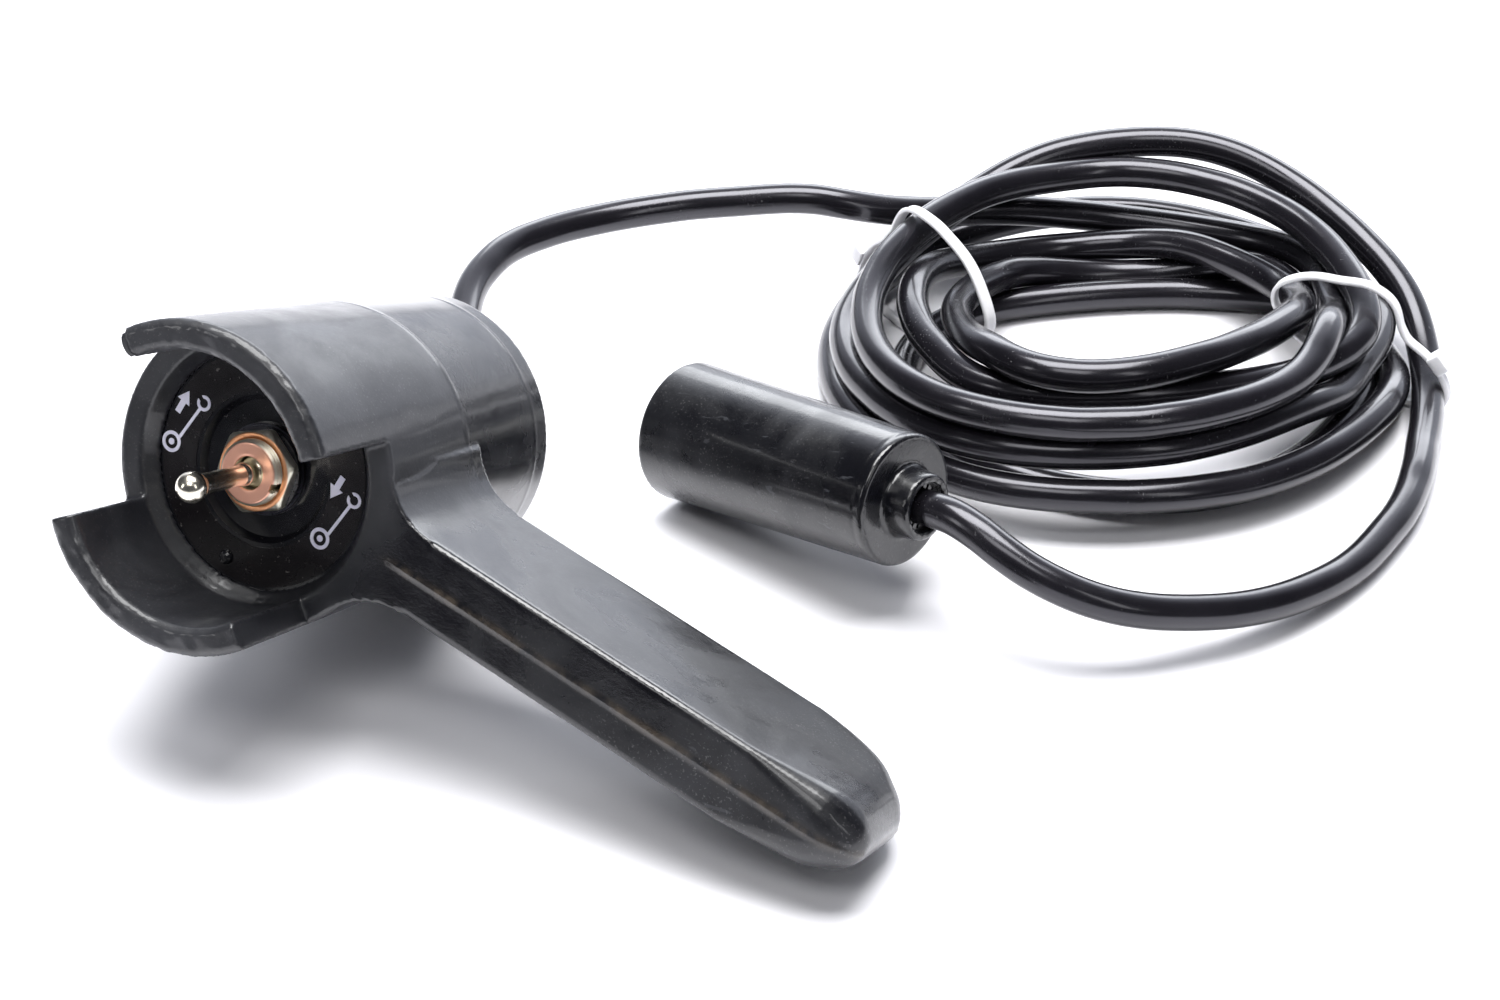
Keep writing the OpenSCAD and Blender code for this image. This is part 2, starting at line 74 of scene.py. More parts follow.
# ------------------------------------------------------------------ camera
cam_data = bpy.data.cameras.new("camera")
cam = bpy.data.objects.new("camera", cam_data)
scene.collection.objects.link(cam)
cr = Vector((0.84599668, 0.53318438, -0.00200587))
cu = Vector((-0.29481336, 0.47090452, 0.83146498))
cf = Vector((-0.44426872, 0.70282526, -0.55557354))
m = Matrix((cr, cu, -cf)).transposed().to_4x4()
m.translation = Vector((0.249865972, -0.319998318, 0.317399335))
cam.matrix_world = m
cam_data.sensor_width = 36.0
cam_data.lens = 2787.7545 / 1500 * 36.0
cam_data.clip_start = 0.01
cam_data.clip_end = 50
scene.camera = cam
scene.view_settings.view_transform = "Standard"
scene.view_settings.look = "None"


# ------------------------------------------------------------------ mesh helpers
def make_obj(name, verts, faces, mat=None, smooth=True, body=ROOT):
    me = bpy.data.meshes.new(name)
    me.from_pydata([tuple(map(float, v)) for v in verts], [], [tuple(int(i) for i in f) for f in faces])
    me.validate()
    me.update()
    bm = bmesh.new()
    bm.from_mesh(me)
    bmesh.ops.recalc_face_normals(bm, faces=bm.faces)
    bm.to_mesh(me)
    bm.free()
    if smooth:
        me.polygons.foreach_set("use_smooth", [True] * len(me.polygons))
    ob = bpy.data.objects.new(name, me)
    scene.collection.objects.link(ob)
    if mat is not None:
        me.materials.append(mat)
    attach(ob, body)
    return ob


def resample(pts, ds):
    "evenly spaced points along a smooth curve through pts (centripetal Catmull-Rom)"
    P = np.array(pts, float)
    P = np.vstack([2 * P[0] - P[1], P, 2 * P[-1] - P[-2]])
    out = []
    for i in range(1, len(P) - 2):
        p0, p1, p2, p3 = P[i - 1], P[i], P[i + 1], P[i + 2]
        t0 = 0.0
        t1 = t0 + max(np.linalg.norm(p1 - p0), 1e-9) ** 0.5
        t2 = t1 + max(np.linalg.norm(p2 - p1), 1e-9) ** 0.5
        t3 = t2 + max(np.linalg.norm(p3 - p2), 1e-9) ** 0.5
        t = np.linspace(t1, t2, 9)[:-1][:, None]
        A1 = (t1 - t) / (t1 - t0) * p0 + (t - t0) / (t1 - t0) * p1
        A2 = (t2 - t) / (t2 - t1) * p1 + (t - t1) / (t2 - t1) * p2
        A3 = (t3 - t) / (t3 - t2) * p2 + (t - t2) / (t3 - t2) * p3
        B1 = (t2 - t) / (t2 - t0) * A1 + (t - t0) / (t2 - t0) * A2
        B2 = (t3 - t) / (t3 - t1) * A2 + (t - t1) / (t3 - t1) * A3
        out.append((t2 - t) / (t2 - t1) * B1 + (t - t1) / (t2 - t1) * B2)
    out.append(P[-2][None, :])
    C = np.vstack(out)
    L = np.r_[0, np.cumsum(np.linalg.norm(np.diff(C, axis=0), axis=1))]
    n = max(2, int(round(L[-1] / ds)))
    s = np.linspace(0, L[-1], n + 1)
    return np.stack([np.interp(s, L, C[:, k]) for k in range(3)], 1)


def frames_along(C, closed=False):
    T = np.gradient(C, axis=0)
    if closed:
        T = np.roll(C, -1, 0) - np.roll(C, 1, 0)
    T /= np.linalg.norm(T, axis=1)[:, None]
    u = np.cross(T[0], (0, 0, 1.0))
    if np.linalg.norm(u) < 1e-3:
        u = np.cross(T[0], (1.0, 0, 0))
    u /= np.linalg.norm(u)
    U = [u]
    for i in range(1, len(C)):
        v = U[-1] - T[i] * (U[-1] @ T[i])
        U.append(v / np.linalg.norm(v))
    U = np.array(U)
    return T, U, np.cross(T, U)


def tube(name, C, radius, sides, mat, body=ROOT, caps=True):
    C = np.array(C, float)
    T, U, V = frames_along(C)
    R = np.broadcast_to(np.asarray(radius, float), (len(C),))
    a = np.linspace(0, 2 * np.pi, sides, endpoint=False)
    verts = (C[:, None, :] + R[:, None, None] * (np.cos(a)[None, :, None] * U[:, None, :] + np.sin(a)[None, :, None] * V[:, None, :])).reshape(-1, 3)
    faces = []
    n = len(C)
    for i in range(n - 1):
        for k in range(sides):
            k2 = (k + 1) % sides
            faces.append((i * sides + k, i * sides + k2, (i + 1) * sides + k2, (i + 1) * sides + k))
    if caps:
        faces.append(tuple(range(sides)))
        faces.append(tuple((n - 1) * sides + k for k in range(sides)))
    return make_obj(name, verts, faces, mat, True, body)


def lathe(name, prof, to_world, mat, seg=96, body=ROOT, radial=None, smooth=True):
    """prof: list of (r, y) in mm round the axis; to_world maps (r cos, y, r sin). radial(theta, r, y) may change r."""
    verts, faces = [], []
    n = len(prof)
    for j in range(seg):
        t = 2 * math.pi * j / seg
        for r, y in prof:
            rr, yy = (r, y) if radial is None else radial(t, r, y)
            verts.append((rr * math.cos(t), yy, rr * math.sin(t)))
    for j in range(seg):
        j2 = (j + 1) % seg
        for i in range(n - 1):
            faces.append((j * n + i, j * n + i + 1, j2 * n + i + 1, j2 * n + i))
    return make_obj(name, to_world(np.array(verts)), faces, mat, smooth, body)


def soften(node, voxel, rounds, name, mat, factor=0.5):
    "a fine, evenly meshed copy of a CAD node with softly rounded moulded edges"
    src = nodes[node]
    me = src.data.copy()
    ob = bpy.data.objects.new(name, me)
    scene.collection.objects.link(ob)
    bm = bmesh.new()
    bm.from_mesh(me)
    bmesh.ops.remove_doubles(bm, verts=bm.verts, dist=2e-6)
    bm.to_mesh(me)
    bm.free()
    if me.has_custom_normals:
        me.attributes.remove(me.attributes["custom_normal"]) if "custom_normal" in me.attributes else None
    mod = ob.modifiers.new("r", "REMESH")
    mod.mode = "VOXEL"
    mod.voxel_size = voxel
    mod.use_smooth_shade = True
    sm = ob.modifiers.new("s", "SMOOTH")
    sm.factor = factor
    sm.iterations = rounds
    dg = bpy.context.evaluated_depsgraph_get()
    new = bpy.data.meshes.new_from_object(ob.evaluated_get(dg))
    ob.modifiers.clear()
    ob.data = new
    new.name = name
    new.materials.clear()
    new.materials.append(mat)
    new.polygons.foreach_set("use_smooth", [True] * len(new.polygons))
    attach(ob, ROOT)
    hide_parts(node)
    return ob


def coords(ob):
    co = np.zeros(len(ob.data.vertices) * 3)
    ob.data.vertices.foreach_get("co", co)
    return co.reshape(-1, 3)


def normals(ob):
    no = np.zeros(len(ob.data.vertices) * 3)
    ob.data.vertices.foreach_get("normal", no)
    return no.reshape(-1, 3)


def set_coords(ob, co):
    ob.data.vertices.foreach_set("co", np.asarray(co, float).ravel())
    ob.data.update()


# ------------------------------------------------------------------ materials
class M:
    def __init__(self, name):
        self.mat = bpy.data.materials.new(name)
        self.mat.use_nodes = True
        self.nt = self.mat.node_tree
        self.nt.nodes.clear()
        self.out = self.nt.nodes.new("ShaderNodeOutputMaterial")
        self.b = self.nt.nodes.new("ShaderNodeBsdfPrincipled")
        self.nt.links.new(self.b.outputs[0], self.out.inputs[0])
        self.tc = self.nt.nodes.new("ShaderNodeTexCoord")
        self.obj = self.tc.outputs["Object"]

    def set(self, **kw):
        for k, v in kw.items():
            self.b.inputs[k.replace("_", " ")].default_value = v
        return self

    def link(self, a, b):
        self.nt.links.new(a, b)

    def noise(self, scale, detail=4, rough=0.55, dist=0.0, vec=None):
        n = self.nt.nodes.new("ShaderNodeTexNoise")
        n.inputs["Scale"].default_value = scale
        n.inputs["Detail"].default_value = detail
        n.inputs["Roughness"].default_value = rough
        n.inputs["Distortion"].default_value = dist
        self.link(vec or self.obj, n.inputs["Vector"])
        return n.outputs[0]

    def voronoi(self, scale, vec=None, out="Distance"):
        n = self.nt.nodes.new("ShaderNodeTexVoronoi")
        n.inputs["Scale"].default_value = scale
        self.link(vec or self.obj, n.inputs["Vector"])
        return n.outputs[out]

    def ramp(self, src, stops):
        n = self.nt.nodes.new("ShaderNodeValToRGB")
        cr_ = n.color_ramp
        while len(cr_.elements) < len(stops):
            cr_.elements.new(0.5)
        for e, (p, c) in zip(cr_.elements, stops):
            e.position = p
            e.color = (*c, 1) if hasattr(c, "__len__") else (c, c, c, 1)
        self.link(src, n.inputs[0])
        return n.outputs[0]

    def maprange(self, src, a, b, c, d, kind="LINEAR"):
        n = self.nt.nodes.new("ShaderNodeMapRange")
        n.interpolation_type = kind
        for i, v in zip((1, 2, 3, 4), (a, b, c, d)):
            n.inputs[i].default_value = v
        self.link(src, n.inputs[0])
        return n.outputs[0]

    def math(self, op, a, b=None, clamp=False):
        n = self.nt.nodes.new("ShaderNodeMath")
        n.operation = op
        n.use_clamp = clamp
        for i, v in enumerate((a, b)):
            if v is None:
                continue
            if isinstance(v, (int, float)):
                n.inputs[i].default_value = v
            else:
                self.link(v, n.inputs[i])
        return n.outputs[0]

    def mix(self, fac, a, b):
        n = self.nt.nodes.new("ShaderNodeMix")
        n.data_type = "RGBA"
        for sock, v in ((n.inputs[0], fac), (n.inputs[6], a), (n.inputs[7], b)):
            if isinstance(v, (int, float)):
                sock.default_value = v
            elif isinstance(v, tuple):
                sock.default_value = (*v, 1)
            else:
                self.link(v, sock)
        return n.outputs[2]

    def along(self, axis, origin):
        "distance in millimetres along an axis from an origin, from object coordinates in metres"
        n = self.nt.nodes.new("ShaderNodeVectorMath")
        n.operation = "SUBTRACT"
        self.link(self.obj, n.inputs[0])
        n.inputs[1].default_value = tuple(origin)
        d = self.nt.nodes.new("ShaderNodeVectorMath")
        d.operation = "DOT_PRODUCT"
        self.link(n.outputs[0], d.inputs[0])
        d.inputs[1].default_value = tuple(np.array(axis) * 1000)
        return d.outputs["Value"]

    def stretched(self, sx, sy, sz):
        n = self.nt.nodes.new("ShaderNodeMapping")
        n.inputs["Scale"].default_value = (sx, sy, sz)
        self.link(self.obj, n.inputs["Vector"])
        return n.outputs[0]

    def bump(self, height, strength, dist, prev=None):
        n = self.nt.nodes.new("ShaderNodeBump")
        n.inputs["Strength"].default_value = strength
        n.inputs["Distance"].default_value = dist
        self.link(height, n.inputs["Height"])
        if prev is not None:
            self.link(prev, n.inputs["Normal"])
        return n.outputs[0]

    def done(self, color=None, rough=None, normal=None):
        if color is not None:
            self.link(color, self.b.inputs["Base Color"])
        if rough is not None:
            self.link(rough, self.b.inputs["Roughness"])
        if normal is not None:
            self.link(normal, self.b.inputs["Normal"])
        return self.mat


def rubber(name, hand=False):
    m = M(name)
    m.set(IOR=1.52, Sheen_Weight=0.02, Sheen_Roughness=0.4, Specular_IOR_Level=0.5, Coat_Weight=0.45, Coat_Roughness=0.11, Coat_IOR=1.5)
    m.b.inputs["Sheen Tint"].default_value = (0.7, 0.78, 1.0, 1)
    cloud = m.noise(34, 6, 0.62, 0.5)
    base = m.ramp(cloud, [(0.34, (0.0025, 0.0025, 0.0040)), (0.54, (0.0045, 0.0047, 0.0068)), (0.74, (0.016, 0.017, 0.022))])
    # fine pale dust caught in the surface
    speck = m.ramp(m.noise(2300, 2, 0.5), [(0.61, 0.0), (0.70, 1.0)])
    where = m.ramp(m.noise(30, 5, 0.6, 0.8), [(0.44, 0.0), (0.72, 0.7)])
    base = m.mix(m.math("MULTIPLY", speck, where), base, (0.12, 0.118, 0.12))
    # short scuffs, most of them along the piece
    sc = m.ramp(m.noise(1.0, 3, 0.5, 0.5, m.stretched(160, 900, 520)), [(0.66, 0.0), (0.72, 1.0)])
    sc = m.math("MULTIPLY", sc, m.ramp(m.noise(17, 3, 0.5), [(0.50, 0.0), (0.66, 0.5)]))
    base = m.mix(sc, base, (0.075, 0.078, 0.088))
    rough = m.maprange(cloud, 0.40, 0.62, 0.15, 0.42)
    rough = m.math("ADD", rough, m.math("MULTIPLY", m.noise(300, 3), 0.07))
    rough = m.math("ADD", rough, m.math("MULTIPLY", where, 0.07))
    if hand:
        y = m.along(EY, HA)
        # the front half of the head is duller and dustier than the rear
        front = m.maprange(y, 26.0, 30.0, 1.0, 0.0, "SMOOTHSTEP")
        x = m.along(EX, HA)
        onhead = m.maprange(x, 24.0, 36.0, 1.0, 0.0, "SMOOTHSTEP")
        dull = m.math("MULTIPLY", front, onhead)
        base = m.mix(m.math("MULTIPLY", dull, 0.30), base, (0.028, 0.029, 0.035))
        rough = m.math("ADD", rough, m.math("MULTIPLY", dull, 0.10))
        # polished rear half
        shiny = m.math("MULTIPLY", m.maprange(y, 26.0, 30.0, 0.0, 1.0, "SMOOTHSTEP"), onhead)
        rough = m.math("SUBTRACT", rough, m.math("MULTIPLY", shiny, 0.08))
        # brownish dust along the parting line
        z = m.along(EZ, HA)
        line = m.maprange(m.math("ABSOLUTE", z), 0.0, 1.6, 1.0, 0.0, "SMOOTHSTEP")
        line = m.math("MULTIPLY", line, m.maprange(x, 28.0, 34.0, 0.0, 1.0, "SMOOTHSTEP"))
        line = m.math("MULTIPLY", line, m.ramp(m.noise(240, 4, 0.6), [(0.38, 0.0), (0.66, 0.8)]))
        base = m.mix(line, base, (0.075, 0.060, 0.045))
    n1 = m.bump(m.noise(1900, 3, 0.6), 0.12, 0.0002)
    n2 = m.bump(m.noise(110, 4, 0.55), 0.16, 0.0008, n1)
    return m.done(base, m.math("MINIMUM", rough, 0.75), n2)


def cord_mat():
    m = M("cord_jacket")
    m.set(IOR=1.5, Specular_IOR_Level=0.5, Coat_Weight=0.35, Coat_Roughness=0.13)
    m.b.inputs["Specular Tint"].default_value = (0.90, 0.89, 1.0, 1)
    c = m.noise(60, 5, 0.6, 0.2)
    base = m.ramp(c, [(0.3, (0.0040, 0.0036, 0.0052)), (0.7, (0.0095, 0.0088, 0.0115))])
    # dust and small scuffs
    sp = m.ramp(m.noise(1500, 2, 0.5), [(0.66, 0.0), (0.73, 1.0)])
    sp = m.math("MULTIPLY", sp, m.ramp(m.noise(70, 4, 0.6), [(0.50, 0.0), (0.74, 0.6)]))
    base = m.mix(sp, base, (0.20, 0.20, 0.205))
    rough = m.maprange(m.noise(110, 4, 0.6), 0.3, 0.7, 0.20, 0.28)
    rough = m.math("ADD", rough, m.math("MULTIPLY", sp, 0.3))
    n = m.bump(m.noise(900, 2, 0.5), 0.05, 0.0002)
    n = m.bump(m.noise(60, 2, 0.5), 0.05, 0.0005, n)
    return m.done(base, rough, n)


def metal(name, col, rough, var=0.08, ring=None, dark=0.25, bump=0.06):
    m = M(name)
    m.set(Metallic=1.0)
    c = m.noise(420, 5, 0.6, 0.4)
    base = m.mix(m.ramp(c, [(0.42, 0.0), (0.80, dark)]), col, tuple(v * 0.45 for v in col))
    if ring is not None:
        ax, org, r0, r1, tone, amount = ring
        # distance from the switch's axis, in millimetres
        x, z = m.along(EX, HA), m.along(EZ, HA)
        r = m.math("SQRT", m.math("ADD", m.math("MULTIPLY", x, x), m.math("MULTIPLY", z, z)))
        y = m.along(EY, HA)
        k = m.math("MULTIPLY", m.maprange(r, r0 - 0.15, r0 + 0.05, 0.0, 1.0), m.maprange(r, r1 - 0.1, r1 + 0.15, 1.0, 0.0))
        k = m.math("MULTIPLY", k, m.maprange(y, ax, ax + 0.12, 1.0, 0.0))
        k = m.math("MULTIPLY", k, amount)
        base = m.mix(k, base, tone)
    r_ = m.maprange(m.noise(700, 4, 0.6), 0.3, 0.7, rough - var, rough + var)
    n = m.bump(m.noise(1500, 3, 0.6), bump, 0.0001)
    return m.done(base, r_, n)


def plastic(name, lo_c, hi_c, rough, scale=90, bump=0.06, spec=0.5, coat=0.0, specks=0.0):
    m = M(name)
    m.set(Specular_IOR_Level=spec, Coat_Weight=coat, Coat_Roughness=0.08)
    c = m.noise(scale, 5, 0.6, 0.2)
    base = m.ramp(c, [(0.3, lo_c), (0.7, hi_c)])
    if specks:
        sp = m.ramp(m.noise(1300, 2, 0.5), [(0.69, 0.0), (0.76, specks)])
        base = m.mix(sp, base, (0.22, 0.21, 0.2))
    r_ = m.maprange(m.noise(scale * 3, 4, 0.6), 0.3, 0.7, max(rough - 0.05, 0.02), rough + 0.07)
    n = m.bump(m.noise(1300, 3, 0.6), bump, 0.0002)
    return m.done(base, r_, n)


M_rubber = rubber("moulded_rubber_hand", True)
M_plugrub = rubber("moulded_rubber_plug")
M_cord = cord_mat()
M_nickel = metal("nickel", (0.80, 0.76, 0.68), 0.17)
M_nut = metal("nickel_nut", (0.90, 0.86, 0.72), 0.38, 0.05, (0.42, None, 5.9, 7.10, (0.92, 0.42, 0.20), 0.95), 0.10, 0.02)
M_bush = metal("nickel_bushing", (0.80, 0.75, 0.62), 0.34, 0.05, (-1.25, None, 2.5, 5.5, (0.93, 0.47, 0.33), 0.92), 0.08, 0.02)
M_lever = metal("nickel_lever", (0.95, 0.89, 0.76), 0.20, 0.04, None, 0.06, 0.01)
M_steel = metal("steel", (0.52, 0.52, 0.54), 0.30)
# near-black metal for the lock washer and locating ring, coloured so they read as dark as the ring round the nut
M_black = metal("near_black_steel", (0.055, 0.055, 0.065), 0.32)
M_brass = metal("brass", (0.78, 0.56, 0.24), 0.25)
M_silver = metal("silver", (0.86, 0.86, 0.87), 0.25)
M_tin = metal("tinned", (0.62, 0.60, 0.54), 0.33)
M_plate = plastic("plate_black", (0.005, 0.005, 0.007), (0.010, 0.010, 0.013), 0.16, 60, 0.04, 0.5, 0.2, 0.30)
M_label = plastic("label_black", (0.0055, 0.0045, 0.0055), (0.0105, 0.0085, 0.0100), 0.24, 50, 0.05, 0.38, 0.0, 0.40)
M_symbol = plastic("symbol_white", (0.66, 0.65, 0.80), (0.84, 0.83, 0.94), 0.5, 300)
M_phen = plastic("phenolic", (0.09, 0.035, 0.02), (0.15, 0.06, 0.035), 0.5, 120)
M_insert = plastic("insert_black", (0.012, 0.012, 0.013), (0.022, 0.022, 0.024), 0.45, 120)
M_wwhite = plastic("wire_white", (0.66, 0.66, 0.62), (0.78, 0.78, 0.74), 0.35)
M_wgreen = plastic("wire_green", (0.02, 0.18, 0.05), (0.05, 0.28, 0.09), 0.35)
M_wred = plastic("wire_red", (0.35, 0.02, 0.015), (0.5, 0.04, 0.03), 0.35)


def tie_mat():
    m = M("tie_nylon")
    m.set(Specular_IOR_Level=0.5, Subsurface_Weight=0.25, Subsurface_Scale=0.002)
    m.b.inputs["Subsurface Radius"].default_value = (1.0, 1.0, 1.0)
    c = m.noise(200, 4, 0.6)
    base = m.ramp(c, [(0.3, (0.74, 0.74, 0.77)), (0.7, (0.86, 0.86, 0.88))])
    n = m.bump(m.noise(1200, 2, 0.5), 0.08, 0.0002)
    return m.done(base, m.maprange(c, 0.3, 0.7, 0.30, 0.42), n)


M_tie = tie_mat()

for node, mat_ in {
    "face_plate": M_plate, "face_label": M_label, "symbol_out": M_symbol, "symbol_in": M_symbol,
    "locating_rivet": M_plate, "locating_ring": M_black, "lock_washer": M_black, "backing_nut": M_nickel,
    "pivot_pin": M_steel, "toggle_lever": M_lever, "lever_plunger": M_brass, "plunger_spring": M_steel,
    "switch_frame": M_steel, "switch_case": M_phen, "rocker_contact": M_brass, "rocker_buttons": M_silver,
    "terminal_common": M_brass, "terminal_out": M_brass, "terminal_in": M_brass, "spade_connectors": M_tin,
    "wire_common": M_wwhite, "wire_out": M_wgreen, "wire_in": M_wred, "cord_clamp": M_phen,
    "clamp_screws": M_steel, "cord_tail_head": M_cord, "plug_insert": M_insert, "plug_contacts": M_brass,
    "plug_wires": M_wred, "plug_gland": M_plugrub, "cord_tail_plug": M_cord,
}.items():
    o = nodes[node]
    o.data.materials.clear()
    o.data.materials.append(mat_)

